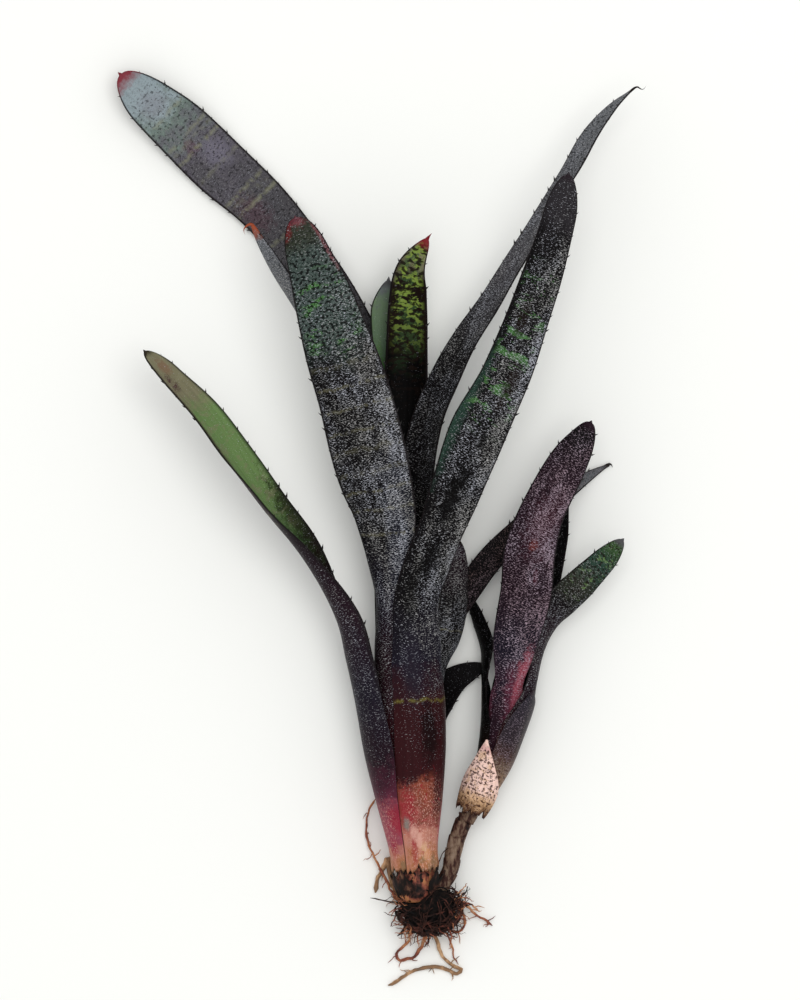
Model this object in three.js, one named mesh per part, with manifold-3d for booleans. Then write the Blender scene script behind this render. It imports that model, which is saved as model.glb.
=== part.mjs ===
// A bare-root neoregelia with one pup on a short stolon, lying on a flat surface.
// Millimetres. +Y runs from the roots to the leaf tips, +Z points up from the surface.
import * as THREE from "three";
import { mergeVertices } from "three/addons/utils/BufferGeometryUtils.js";
import Module from "manifold-3d";

const wasm = await Module();
wasm.setup();

// ---- Driving dimensions ----
const SHEATH_THICKNESS = 1.0;
const MARGIN_THICKNESS = 0.7;
const RING_STEP = 1.5; // from one layer of sheaths to the next layer inside it
const SPINE_LENGTH = 1.5;
const SPINE_HALF_BASE = 0.6; // half the length of margin that a spine grows from
const SPINE_GAP = 13.5;
const SPINE_GAP_JITTER = 0.25;
const SPINE_LEAN = 0.7; // how far a spine leans towards the leaf's tip, against its reach
const LEAST_HALF_WIDTH = 0.45; // at the root of the spine on a leaf's tip
const PLAIN_STEP = 18; // longest stretch of a leaf with no station
const TIP_MARKS = [0.75, 0.5, 0.34, 0.2, 0.1, 0.03]; // shares of the tip's length left at each
const DEGREE = Math.PI / 180;

// The tubes that the sheaths roll up into: points on the axis, and the outer radius there.
const MAIN_TUBE = [
  { at: [0, 2, 12.5], radius: 9.7 },
  { at: [-1, 13, 13.1], radius: 9.9 },
  { at: [-2.4, 32, 14], radius: 13.2 },
  { at: [-2.9, 50, 15], radius: 14.8 },
  { at: [-3.2, 72, 15.9], radius: 15.2 },
  { at: [-3.5, 92, 16.5], radius: 14.8 },
  { at: [-3.6, 112, 17], radius: 14.2 },
];
const PUP_TUBE = [
  { at: [21, 25, 11], radius: 4.2 },
  { at: [24.4, 33, 11.3], radius: 5.8 },
  { at: [31, 49, 12], radius: 8.3 },
  { at: [34, 61, 12.4], radius: 9.9 },
  { at: [36.4, 73, 12.8], radius: 11.9 },
  { at: [38.2, 86, 13.2], radius: 12.2 },
];

// ---- Small helpers ----
const vector = (list) => new THREE.Vector3(...list);
const smoothLine = (points) => new THREE.CatmullRomCurve3(points, false, "catmullrom", 0.5);

// The same numbers on every run, from a seed.
function seeded(seed) {
  let state = seed >>> 0;
  return () => {
    state = (state + 0x6d2b79f5) >>> 0;
    let mixed = Math.imul(state ^ (state >>> 15), 1 | state);
    mixed = (mixed + Math.imul(mixed ^ (mixed >>> 7), 61 | mixed)) ^ mixed;
    return ((mixed ^ (mixed >>> 14)) >>> 0) / 4294967296;
  };
}

// The point on a tube's axis at a height y, with the axis's direction and the outer radius there.
function tubeAt(tube, y) {
  let i = 0;
  while (i < tube.length - 2 && y > tube[i + 1].at[1]) i += 1;
  const low = tube[i];
  const high = tube[i + 1];
  const part = (y - low.at[1]) / (high.at[1] - low.at[1]);
  const before = vector(tube[Math.max(i - 1, 0)].at);
  const after = vector(tube[Math.min(i + 2, tube.length - 1)].at);
  return {
    point: vector(low.at).lerp(vector(high.at), part),
    along: after.sub(before).normalize(),
    radius: THREE.MathUtils.lerp(low.radius, high.radius, part),
  };
}

// The direction that a leaf's back faces: 0 is to the right of its length, 90 is up,
// 180 is to the left and 270 is down.
function backDirection(along, face) {
  const right = new THREE.Vector3().crossVectors(along, new THREE.Vector3(0, 0, 1)).normalize();
  const up = new THREE.Vector3().crossVectors(right, along).normalize();
  return right.multiplyScalar(Math.cos(face * DEGREE)).addScaledVector(up, Math.sin(face * DEGREE));
}

// A row of a leaf where its sheath is rolled round a tube, in layer `ring`, 0 the outermost.
function sheath(tube, ring, y, face, curl) {
  const { point, along, radius } = tubeAt(tube, y);
  const bend = radius - SHEATH_THICKNESS / 2 - ring * RING_STEP;
  const at = point.addScaledVector(backDirection(along, face), bend);
  return { at, along, half: bend * curl * DEGREE, curl, face };
}

// A row of a leaf's free blade: middle of the blade, half its width along the curl,
// half the angle that it curls through, and where its back faces.
const blade = (x, y, z, half, curl, face) => ({ at: vector([x, y, z]), half, curl, face });

// ---- Closed meshes from rings of points ----
class Skin {
  constructor() {
    this.points = [];
    this.triangles = [];
  }

  add(point) {
    this.points.push(point);
    return this.points.length - 1;
  }

  quad(a, b, c, d) {
    this.triangles.push([a, b, c], [a, c, d]);
  }

  // The geometry, with its faces turned outwards.
  geometry() {
    const volume = this.triangles.reduce((sum, [a, b, c]) => {
      const normal = new THREE.Vector3().crossVectors(this.points[b], this.points[c]);
      return sum + this.points[a].dot(normal);
    }, 0);
    const order = volume > 0 ? [0, 1, 2] : [0, 2, 1];
    const shape = new THREE.BufferGeometry();
    shape.setAttribute(
      "position",
      new THREE.Float32BufferAttribute(this.points.flatMap((p) => p.toArray()), 3),
    );
    shape.setIndex(this.triangles.flatMap((t) => order.map((k) => t[k])));
    shape.computeVertexNormals();
    return shape;
  }
}

// ---- Leaves ----
// Distances along a leaf at which its cross-section is drawn. A spine stands between the two
// stations of each pair marked `spine`.
function stationsOf(length, leaf, random) {
  const marks = [{ s: 0 }];
  const spineStart = length * leaf.spinesFrom;
  const tipStart = length - leaf.tipLength;
  const plainSteps = Math.max(1, Math.ceil(spineStart / PLAIN_STEP));
  for (let i = 1; i < plainSteps; i += 1) marks.push({ s: (spineStart * i) / plainSteps });
  const gap = leaf.spineGap ?? SPINE_GAP;
  let s = spineStart;
  while (s < length - leaf.tipLength * 0.35) {
    marks.push({ s: s - SPINE_HALF_BASE, spine: true }, { s: s + SPINE_HALF_BASE });
    const near = s > tipStart - gap ? 0.7 : 1;
    s += gap * near * (1 + SPINE_GAP_JITTER * (2 * random() - 1));
  }
  const last = marks[marks.length - 1].s;
  for (const share of leaf.tipMarks ?? TIP_MARKS) {
    const place = length - leaf.tipLength * share;
    if (place > last + 0.8) marks.push({ s: place });
  }
  return marks;
}

// How much of its width a leaf keeps near its tip: 1 away from it, rounding off to 0 at it.
function tipShare(s, length, leaf) {
  const left = Math.min(1, (length - s) / leaf.tipLength);
  return Math.pow(1 - Math.pow(1 - left, leaf.tipPower), 1 / leaf.tipPower);
}

function leafGeometry(leaf) {
  const rows = leaf.rows;
  const middle = smoothLine(rows.map((row) => row.at));
  const count = rows.length - 1;
  const directions = smoothLine(rows.map((row, i) => row.along ?? middle.getTangent(i / count)));
  const measures = smoothLine(rows.map((row) => new THREE.Vector3(row.half, row.curl, row.face)));
  middle.arcLengthDivisions = 400;
  const length = middle.getLength();
  const random = seeded(leaf.seed);
  const skin = new Skin();
  const rings = stationsOf(length, leaf, random).map(({ s, spine }) => {
    const t = middle.getUtoTmapping(s / length);
    const centre = middle.getPoint(t);
    const along = directions.getPoint(t).normalize();
    const { x: half, y: curl, z: face } = measures.getPoint(t);
    const back = backDirection(along, face);
    const side = new THREE.Vector3().crossVectors(back, along).normalize();
    const width = Math.max(half * tipShare(s, length, leaf), LEAST_HALF_WIDTH);
    const halfAngle = curl * DEGREE;
    const bend = half / halfAngle;
    const reach = width / bend;
    const hub = centre.clone().addScaledVector(back, -bend);
    const outer = [];
    const inner = [];
    for (let i = 0; i <= leaf.across; i += 1) {
      const share = (2 * i) / leaf.across - 1;
      const angle = share * reach;
      const ray = back.clone().multiplyScalar(Math.cos(angle)).addScaledVector(side, Math.sin(angle));
      const edge = Math.pow(Math.abs(share), 3);
      const thick = THREE.MathUtils.lerp(SHEATH_THICKNESS, MARGIN_THICKNESS, edge);
      outer.push(skin.add(hub.clone().addScaledVector(ray, bend + thick / 2)));
      inner.push(skin.add(hub.clone().addScaledVector(ray, bend - thick / 2)));
    }
    const rims = [-reach, reach].map((angle) =>
      side.clone().multiplyScalar(Math.cos(angle) * Math.sign(angle))
        .addScaledVector(back, -Math.abs(Math.sin(angle)) * Math.sign(halfAngle)));
    return { outer, inner, rims, along, spine, random: [random(), random()] };
  });
  const n = leaf.across;
  for (let r = 0; r < rings.length - 1; r += 1) {
    const here = rings[r];
    const next = rings[r + 1];
    for (let i = 0; i < n; i += 1) {
      skin.quad(here.outer[i], here.outer[i + 1], next.outer[i + 1], next.outer[i]);
      skin.quad(here.inner[i], next.inner[i], next.inner[i + 1], here.inner[i + 1]);
    }
    [0, 1].forEach((end) => {
      const i = end * n;
      const corners = [here.outer[i], next.outer[i], next.inner[i], here.inner[i]];
      if (end === 1) corners.reverse();
      if (!here.spine) {
        skin.quad(...corners);
        return;
      }
      const root = new THREE.Vector3();
      corners.forEach((corner) => root.addScaledVector(skin.points[corner], 0.25));
      const reach = SPINE_LENGTH * (0.75 + 0.5 * here.random[end]);
      root.addScaledVector(here.rims[end], reach).addScaledVector(here.along, reach * SPINE_LEAN);
      const top = skin.add(root);
      corners.forEach((corner, k) => skin.triangles.push([corner, corners[(k + 1) % 4], top]));
    });
  }
  closeBase(skin, rings[0], n);
  closeTip(skin, rings[rings.length - 1], n, leaf.tipSpine, middle.getPoint(1), leaf.tipHook);
  return skin.geometry();
}

function closeBase(skin, ring, n) {
  for (let i = 0; i < n; i += 1) {
    skin.quad(ring.outer[i], ring.inner[i], ring.inner[i + 1], ring.outer[i + 1]);
  }
}

// The last cross-section runs out to the small spine at the leaf's tip.
function closeTip(skin, ring, n, spine, end, hook = [0, 0, 0]) {
  const point = skin.add(end.clone().addScaledVector(ring.along, spine).add(vector(hook)));
  for (let i = 0; i < n; i += 1) {
    skin.triangles.push([ring.outer[i], ring.outer[i + 1], point]);
    skin.triangles.push([ring.inner[i + 1], ring.inner[i], point]);
  }
  skin.triangles.push([ring.inner[0], ring.outer[0], point]);
  skin.triangles.push([ring.outer[n], ring.inner[n], point]);
}

// ---- The leaves: seen from above, the main rosette from left to right, then the pup ----
const main = (ring, y, face, curl) => sheath(MAIN_TUBE, ring, y, face, curl);
const pup = (ring, y, face, curl) => sheath(PUP_TUBE, ring, y, face, curl);

const LEAVES = [
  {
    name: "leaf_left_paddle",
    color: 0x55505a,
    across: 6,
    tipLength: 17,
    tipPower: 2.1,
    tipSpine: 1.5,
    spinesFrom: 0.4,
    rows: [
      main(1, 7, 230, 40),
      main(1, 16, 230, 40),
      main(1, 32, 230, 38),
      main(1, 50, 230, 38),
      main(1, 72, 230, 38),
      main(1, 92, 232, 38),
      blade(-11, 112, 6.6, 8.2, 38, 240),
      blade(-10.4, 135, 4.4, 8.4, 28, 250),
      blade(-9.8, 160, 4, 8.8, 20, 260),
      blade(-14.5, 194, 4, 9.4, 16, 266),
      blade(-28.8, 226, 2.6, 9, 12, 268),
      blade(-44.2, 249.5, 1.5, 9.4, 10, 268),
      blade(-61, 269.5, 0.9, 10.6, 10, 268),
      blade(-78, 285, 1.8, 11.6, 9, 268),
      blade(-95, 301.5, 4.5, 11.2, 8, 268),
      blade(-109.5, 313.8, 7.5, 9, 8, 268),
      blade(-118.5, 322.5, 10, 7.4, 8, 268),
    ],
  },
  {
    name: "leaf_front_left",
    color: 0x3c3c40,
    across: 6,
    tipLength: 15,
    tipPower: 2.2,
    tipSpine: 0.8,
    spinesFrom: 0.44,
    rows: [
      main(1, 7, 130, 52),
      main(1, 16, 130, 52),
      main(1, 32, 130, 52),
      main(1, 50, 130, 52),
      main(1, 72, 130, 52),
      main(1, 92, 130, 52),
      main(1, 112, 126, 50),
      blade(-11.2, 128, 28, 10.4, 38, 108),
      blade(-12.4, 144, 31, 12.4, 26, 100),
      blade(-16, 158, 35, 14.4, 20, 98),
      blade(-20.4, 176, 38, 15, 17, 96),
      blade(-25, 194, 41, 14.6, 15, 95),
      blade(-31, 213, 44, 13.8, 14, 94),
      blade(-38.2, 236.5, 47, 11, 14, 92),
      blade(-43.6, 251, 49, 8.6, 14, 92),
      blade(-48, 264.5, 50, 6.8, 14, 92),
    ],
  },
  {
    name: "leaf_left_folded",
    color: 0x4b4a4c,
    across: 6,
    tipLength: 14,
    tipPower: 1.6,
    tipSpine: 2,
    tipHook: [-1.6, 1, 1],
    spinesFrom: 0.55,
    rows: [
      main(2, 10, 165, 50),
      main(2, 16, 165, 50),
      main(2, 32, 165, 50),
      main(2, 50, 165, 50),
      main(2, 72, 165, 50),
      main(2, 92, 165, 50),
      main(2, 112, 163, 50),
      blade(-14, 132, 22.5, 8.2, 50, 155),
      blade(-15.5, 150, 25, 7.4, 50, 148),
      blade(-21, 172, 28, 7, 50, 142),
      blade(-30, 196, 30, 6.8, 48, 140),
      blade(-41.5, 220, 31, 6.2, 46, 140),
      blade(-53.6, 240, 31, 4.4, 42, 140),
      blade(-61.6, 253.5, 30.5, 3.2, 38, 140),
      blade(-65.6, 262, 30.5, 2.6, 34, 140),
    ],
  },
  {
    name: "leaf_front_right",
    color: 0x3d383e,
    across: 7,
    tipLength: 17,
    tipPower: 1.9,
    tipSpine: 1,
    spinesFrom: 0.42,
    rows: [
      main(0, 4, 51, 60),
      main(0, 13, 51, 60),
      main(0, 32, 51, 60),
      main(-0.1, 50, 52, 60),
      main(-0.15, 62, 56, 56),
      main(-0.15, 72, 62, 50),
      main(-0.1, 84, 69, 46),
      main(0, 98, 68, 45),
      main(0, 112, 68, 44),
      blade(5, 126, 32.2, 9.8, 36, 78),
      blade(10.4, 141, 36, 9.2, 30, 86),
      blade(16.6, 158, 39, 10.4, 26, 90),
      blade(25, 180, 42.5, 11.4, 22, 90),
      blade(35.4, 201, 45, 9.8, 20, 90),
      blade(43.2, 221, 47, 8.6, 18, 90),
      blade(50.8, 243, 49, 7.8, 18, 90),
      blade(56.6, 263, 50, 6.6, 18, 90),
      blade(60.6, 281.6, 50, 5.6, 18, 90),
    ],
  },
  {
    name: "leaf_left_low",
    color: 0x3f4a30,
    across: 7,
    tipLength: 13,
    tipPower: 1.9,
    tipSpine: 1,
    spinesFrom: 0.36,
    rows: [
      main(0, 4, 180, 66),
      main(-0.05, 13, 180, 66),
      main(-0.3, 32, 178, 66),
      blade(-20.1, 50, 16.6, 18, 70, 174),
      blade(-23.8, 71, 17.4, 15.7, 72, 172),
      blade(-27.2, 88, 20, 14, 70, 165),
      blade(-31.5, 105, 21.4, 12.2, 70, 166),
      blade(-45.2, 129.8, 22.2, 11.8, 65, 194),
      blade(-60.8, 150.9, 25, 11.5, 48, 206),
      blade(-82.4, 182.7, 26.6, 8.6, 32, 222),
      blade(-98.6, 201.2, 27, 5.8, 26, 226),
      blade(-108.4, 211.4, 27, 4.6, 22, 228),
    ],
  },
  {
    name: "leaf_right_long",
    color: 0x39343a,
    across: 5,
    tipLength: 34,
    tipPower: 1.35,
    tipSpine: 1.5,
    tipHook: [1.8, -1, 0],
    spinesFrom: 0.5,
    rows: [
      main(3, 13, 345, 50),
      main(3, 32, 345, 50),
      main(3, 50, 345, 50),
      main(3, 72, 345, 50),
      main(3, 92, 345, 50),
      main(3, 112, 352, 38),
      blade(4, 135, 18.2, 7.4, 36, 318),
      blade(1.8, 160, 20.6, 8.4, 30, 308),
      blade(4.6, 180, 22.4, 8.2, 26, 308),
      blade(12, 200, 24, 7.6, 24, 310),
      blade(20.4, 216, 25.4, 6.6, 24, 310),
      blade(32.8, 235, 26.6, 5.6, 24, 312),
      blade(48.4, 261, 27, 4.8, 26, 314),
      blade(61, 281.6, 26.4, 4.6, 28, 316),
      blade(70, 297.5, 25, 4.6, 28, 316),
      blade(79, 309.5, 23.4, 4, 28, 316),
      blade(87, 316.5, 22, 3, 28, 316),
    ],
  },
  {
    name: "leaf_centre_spotted",
    color: 0x4a5a30,
    across: 5,
    tipLength: 22,
    tipPower: 1.55,
    tipSpine: 1.8,
    spinesFrom: 0.74,
    spineGap: 9,
    rows: [
      main(4, 16, 280, 60),
      main(4, 32, 280, 55),
      main(4, 50, 280, 50),
      main(4, 72, 280, 50),
      main(4, 92, 276, 44),
      main(4, 112, 272, 34),
      blade(-3.8, 130, 10.2, 5.4, 30, 270),
      blade(-3.8, 148, 12, 6.8, 32, 271),
      blade(-3.6, 164, 13.6, 8.2, 34, 272),
      blade(-4, 190, 15.6, 8.8, 28, 272),
      blade(-3.6, 216, 18.2, 8.4, 26, 272),
      blade(-3, 234, 20.6, 7.4, 26, 272),
      blade(-1.4, 246, 22.6, 6.6, 26, 272),
      blade(4.6, 256.5, 25, 5.6, 26, 272),
    ],
  },
  {
    name: "leaf_back_green",
    color: 0x44523a,
    across: 5,
    tipLength: 12,
    tipPower: 1.6,
    tipSpine: 1.6,
    spinesFrom: 0.86,
    spineGap: 9,
    rows: [
      main(3, 13, 250, 42),
      main(3, 32, 250, 42),
      main(3, 50, 250, 42),
      main(3, 72, 250, 42),
      main(3, 92, 250, 42),
      main(3, 112, 252, 40),
      blade(-5.6, 138, 7.9, 6.2, 28, 260),
      blade(-6, 164, 9, 6.6, 22, 264),
      blade(-8, 190, 10.8, 6.8, 18, 266),
      blade(-10.6, 212, 12.2, 6.6, 18, 266),
      blade(-12.2, 228, 13.6, 6, 18, 266),
      blade(-11, 240, 15, 4.6, 18, 266),
    ],
  },
  {
    name: "leaf_right_short",
    color: 0x2f2a2e,
    across: 6,
    tipLength: 16,
    tipPower: 1.7,
    tipSpine: 1.2,
    spinesFrom: 0.72,
    spineGap: 9,
    rows: [
      main(1, 7, 15, 50),
      main(1, 16, 15, 50),
      main(1, 32, 15, 50),
      main(1, 50, 15, 50),
      main(1, 62, 13, 46),
      main(1, 72, 12, 42),
      blade(10.7, 84, 16.8, 7, 38, 22),
      blade(13.6, 95, 18.6, 7, 38, 48),
      blade(15.7, 107, 18, 7, 35, 56),
      blade(16.8, 122, 18.6, 6, 32, 60),
      blade(16.9, 135.8, 20, 4.8, 30, 60),
    ],
  },
  {
    name: "leaf_right_arching",
    color: 0x352e34,
    across: 5,
    tipLength: 36,
    tipPower: 1.4,
    tipSpine: 1.6,
    tipHook: [1.6, -0.6, 0],
    spinesFrom: 0.6,
    spineGap: 11,
    rows: [
      main(2, 10, 335, 42),
      main(2, 16, 335, 42),
      main(2, 32, 335, 42),
      main(2, 50, 335, 42),
      main(2, 72, 330, 38),
      main(2, 80, 322, 34),
      blade(7.4, 89, 9.6, 5.4, 30, 310),
      blade(13.4, 103.6, 7.6, 5.6, 26, 298),
      blade(21.6, 116.6, 8, 5.4, 22, 288),
      blade(30.6, 128.8, 8.6, 5.2, 20, 286),
      blade(42.4, 140.4, 7.2, 4.8, 18, 284),
      blade(52, 149, 5.4, 4.6, 16, 282),
      blade(62, 156.6, 3, 4.2, 14, 280),
      blade(70, 162, 1.4, 3.8, 12, 278),
      blade(77, 166, 1.2, 3, 12, 276),
    ],
  },
  {
    name: "leaf_right_low",
    color: 0x30272b,
    across: 6,
    tipLength: 12,
    tipPower: 1.9,
    tipSpine: 1,
    spinesFrom: 0.72,
    spineGap: 9,
    rows: [
      main(0, 4, 300, 43),
      main(0, 13, 300, 43),
      main(0, 32, 300, 43),
      main(-0.1, 50, 300, 43),
      blade(4.8, 64, 1.4, 10, 38, 298),
      blade(10, 74.5, 1.5, 7.8, 24, 288),
      blade(16.6, 80.6, 2, 5, 16, 280),
      blade(22.6, 83.6, 2.4, 3.8, 14, 276),
      blade(28.6, 85.6, 2.8, 3, 14, 274),
    ],
  },
  {
    name: "pup_leaf_front",
    color: 0x5a3a44,
    across: 6,
    tipLength: 15,
    tipPower: 1.8,
    tipSpine: 1,
    spinesFrom: 0.4,
    rows: [
      pup(2, 40, 90, 60),
      pup(2, 48, 90, 60),
      pup(2, 60, 90, 58),
      pup(2, 73, 90, 50),
      pup(2.3, 80, 90, 43),
      blade(39.6, 95, 25.2, 9.2, 31, 92),
      blade(44, 115, 26.6, 10.4, 26, 92),
      blade(45.4, 131, 27.6, 10.2, 22, 92),
      blade(50.2, 147, 28.6, 9, 20, 92),
      blade(60.2, 166, 29, 7.8, 18, 92),
      blade(66.8, 177, 28.5, 5.6, 18, 92),
      blade(69.8, 183, 28, 4.2, 18, 92),
    ],
  },
  {
    name: "pup_leaf_right",
    color: 0x3c3a36,
    across: 6,
    tipLength: 12,
    tipPower: 1.9,
    tipSpine: 1,
    spinesFrom: 0.45,
    spineGap: 9,
    rows: [
      pup(1, 35, 24, 60),
      pup(1, 48, 26, 62),
      pup(1, 60, 30, 62),
      pup(0.7, 73, 18, 46),
      pup(0.6, 80, 6, 34),
      blade(50.4, 90, 12.8, 7, 36, 4),
      blade(53.6, 101, 17, 7.2, 34, 38),
      blade(59.6, 111.6, 19, 7, 28, 62),
      blade(66.6, 119, 20, 6.2, 22, 75),
      blade(76.4, 129, 21, 4.8, 20, 82),
      blade(82.6, 136, 22, 3.8, 20, 82),
    ],
  },
  {
    name: "pup_leaf_back",
    color: 0x2f2a2c,
    across: 5,
    tipLength: 16,
    tipPower: 1.6,
    tipSpine: 1,
    spinesFrom: 0.6,
    spineGap: 9,
    rows: [
      pup(2, 40, 270, 58),
      pup(2, 48, 270, 58),
      pup(2, 60, 270, 56),
      pup(2, 73, 270, 50),
      blade(41, 90, 5.6, 6.4, 34, 272),
      blade(47.6, 106, 7.2, 6.6, 30, 274),
      blade(52.4, 120, 9.6, 5.6, 26, 276),
      blade(55.8, 135, 11.8, 5, 24, 278),
      blade(58.4, 146, 13.2, 4.2, 24, 280),
      blade(60.6, 152.5, 14, 3, 24, 280),
    ],
  },
  {
    name: "pup_leaf_left",
    color: 0x2b2628,
    across: 6,
    tipLength: 14,
    tipPower: 1.6,
    tipSpine: 1,
    spinesFrom: 0.55,
    spineGap: 9,
    rows: [
      pup(1, 35, 180, 55),
      pup(1, 48, 180, 55),
      pup(1, 60, 180, 55),
      pup(1, 73, 188, 40),
      blade(26.6, 84, 11.6, 6.2, 34, 174),
      blade(27, 94, 10.6, 5.8, 32, 154),
      blade(24, 104.6, 6.4, 4.6, 28, 146),
      blade(20.6, 115.6, 4.2, 3.4, 26, 140),
    ],
  },
  {
    name: "pup_bract_dark",
    color: 0x3a3038,
    across: 6,
    tipLength: 16,
    tipPower: 1.7,
    tipSpine: 0.5,
    spinesFrom: 1,
    rows: [
      pup(-0.2, 29, 20, 60),
      pup(-0.2, 36, 22, 60),
      pup(-0.2, 48, 30, 66),
      pup(-0.2, 60, 33, 52),
      pup(-0.2, 72, 34, 34),
      pup(-0.2, 77.4, 34, 24),
    ],
  },
  {
    name: "pup_bract_papery",
    color: 0xd8b8ae,
    across: 6,
    tipLength: 20,
    tipPower: 1.3,
    tipSpine: 0.4,
    spinesFrom: 1,
    rows: [
      pup(-1.4, 27, 94, 80),
      pup(-1.4, 33, 96, 78),
      pup(-1.4, 39, 100, 64),
      pup(-1.3, 46, 108, 46),
      pup(-1.2, 55, 114, 30),
    ],
  },
];

// ---- Joining and cutting ----
function solidOf(geometry) {
  const bare = geometry.clone();
  bare.deleteAttribute("normal");
  bare.deleteAttribute("uv");
  const merged = mergeVertices(bare, 1e-4);
  return new wasm.Manifold(new wasm.Mesh({
    numProp: 3,
    vertProperties: merged.attributes.position.array,
    triVerts: new Uint32Array(merged.index.array),
  }));
}

function geometryOf(solid) {
  const { vertProperties, triVerts } = solid.getMesh();
  const shape = new THREE.BufferGeometry();
  shape.setAttribute("position", new THREE.BufferAttribute(new Float32Array(vertProperties), 3));
  shape.setIndex([...triVerts]);
  shape.computeVertexNormals();
  return shape;
}

// A round limb along a smooth line, with its radius at even steps along it.
function limb(points, radii, sides, stepLength) {
  const line = smoothLine(points.map(vector));
  const steps = Math.max(3, Math.round(line.getLength() / stepLength));
  const frames = line.computeFrenetFrames(steps, false);
  const skin = new Skin();
  const rings = [];
  for (let i = 0; i <= steps; i += 1) {
    const share = (i / steps) * (radii.length - 1);
    const k = Math.min(Math.floor(share), radii.length - 2);
    const radius = THREE.MathUtils.lerp(radii[k], radii[k + 1], share - k);
    const centre = line.getPointAt(i / steps);
    rings.push(Array.from({ length: sides }, (_, j) => {
      const angle = (2 * Math.PI * j) / sides;
      return skin.add(centre.clone()
        .addScaledVector(frames.normals[i], radius * Math.cos(angle))
        .addScaledVector(frames.binormals[i], radius * Math.sin(angle)));
    }));
  }
  const start = skin.add(line.getPointAt(0));
  const end = skin.add(line.getPointAt(1));
  for (let j = 0; j < sides; j += 1) {
    const next = (j + 1) % sides;
    for (let i = 0; i < steps; i += 1) {
      skin.quad(rings[i][j], rings[i][next], rings[i + 1][next], rings[i + 1][j]);
    }
    skin.triangles.push([rings[0][next], rings[0][j], start]);
    skin.triangles.push([rings[steps][j], rings[steps][next], end]);
  }
  return solidOf(skin.geometry());
}

// ---- Stem, with the stolon, the pup's stem and the torn bases of old leaves ----
const STEM_LINE = [[0.2, -9, 12], [0, -3, 12.2], [0, 2, 12.5], [-0.8, 12, 13.1], [-1.3, 20, 13.4]];
const STEM_RADII = [4.4, 7.2, 8, 8.1, 8.1, 7.2, 6.4, 5.2, 4, 3, 2.2, 1];
const STOLON_LINE = [
  [5, -6, 10.5], [10, -2.5, 10.4], [13.6, 3.5, 10.2], [14.8, 10, 10.2], [16.6, 17, 10.6], [20.2, 26, 11],
];
const STOLON_RADIUS = 2.7;
const PUP_STEM_LINE = [[20, 23, 11], [22.2, 28, 11.1], [24.8, 34, 11.3], [28, 42, 11.7]];
const PUP_STEM_RADII = [2.8, 3.4, 3.3, 2.6, 1.6, 0.8];
const STOLON_SCALES = [0.18, 0.36, 0.54, 0.72, 0.9];
const TORN_BASES = 8;

function stolon(extra) {
  return limb(STOLON_LINE, [STOLON_RADIUS + extra, STOLON_RADIUS + extra], 9, 3.5);
}

// The clasping scales on the stolon: short collars that widen towards the pup.
function stolonScales() {
  const line = smoothLine(STOLON_LINE.map(vector));
  return STOLON_SCALES.map((share) => {
    const from = line.getPointAt(share - 0.07).toArray();
    const to = line.getPointAt(share + 0.07).toArray();
    return limb([from, to], [STOLON_RADIUS - 0.4, STOLON_RADIUS + 0.5, STOLON_RADIUS + 0.35], 9, 1.6);
  });
}

function tornBase(i) {
  const face = (360 * (i + 0.3)) / TORN_BASES;
  const lift = (i % 3) * 0.7;
  return solidOf(leafGeometry({
    across: 3,
    tipLength: 5 + lift,
    tipPower: 1.2,
    tipSpine: 0.4,
    tipMarks: [0.5, 0.15],
    spinesFrom: 1,
    seed: 60 + i,
    rows: [
      sheath(MAIN_TUBE, 1.4, -6, face, 20),
      sheath(MAIN_TUBE, 0.6, -3, face, 24),
      sheath(MAIN_TUBE, 0.05, 0.6 + lift, face + 4, 22),
    ],
  }));
}

function stemGeometry() {
  const pieces = [stolon(0), limb(PUP_STEM_LINE, PUP_STEM_RADII, 9, 3), ...stolonScales()];
  for (let i = 0; i < TORN_BASES; i += 1) pieces.push(tornBase(i));
  const whole = pieces.reduce((sum, piece) => sum.add(piece), limb(STEM_LINE, STEM_RADII, 14, 3.2));
  return geometryOf(whole);
}

// ---- Roots ----
const ROOT_MASS_CENTRE = [5.2, -11, 10.6];
const ROOT_MASS_RADII = [12.6, 11, 9.6];
const ROOT_MASS_LUMPS = 0.12;
const ROOT_MASS_LOWEST = 0.4;
const STEM_CLEARANCE = 0.5;
const ROOT_STEP = 5;
const SHORT_ROOTS = 12;
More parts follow.
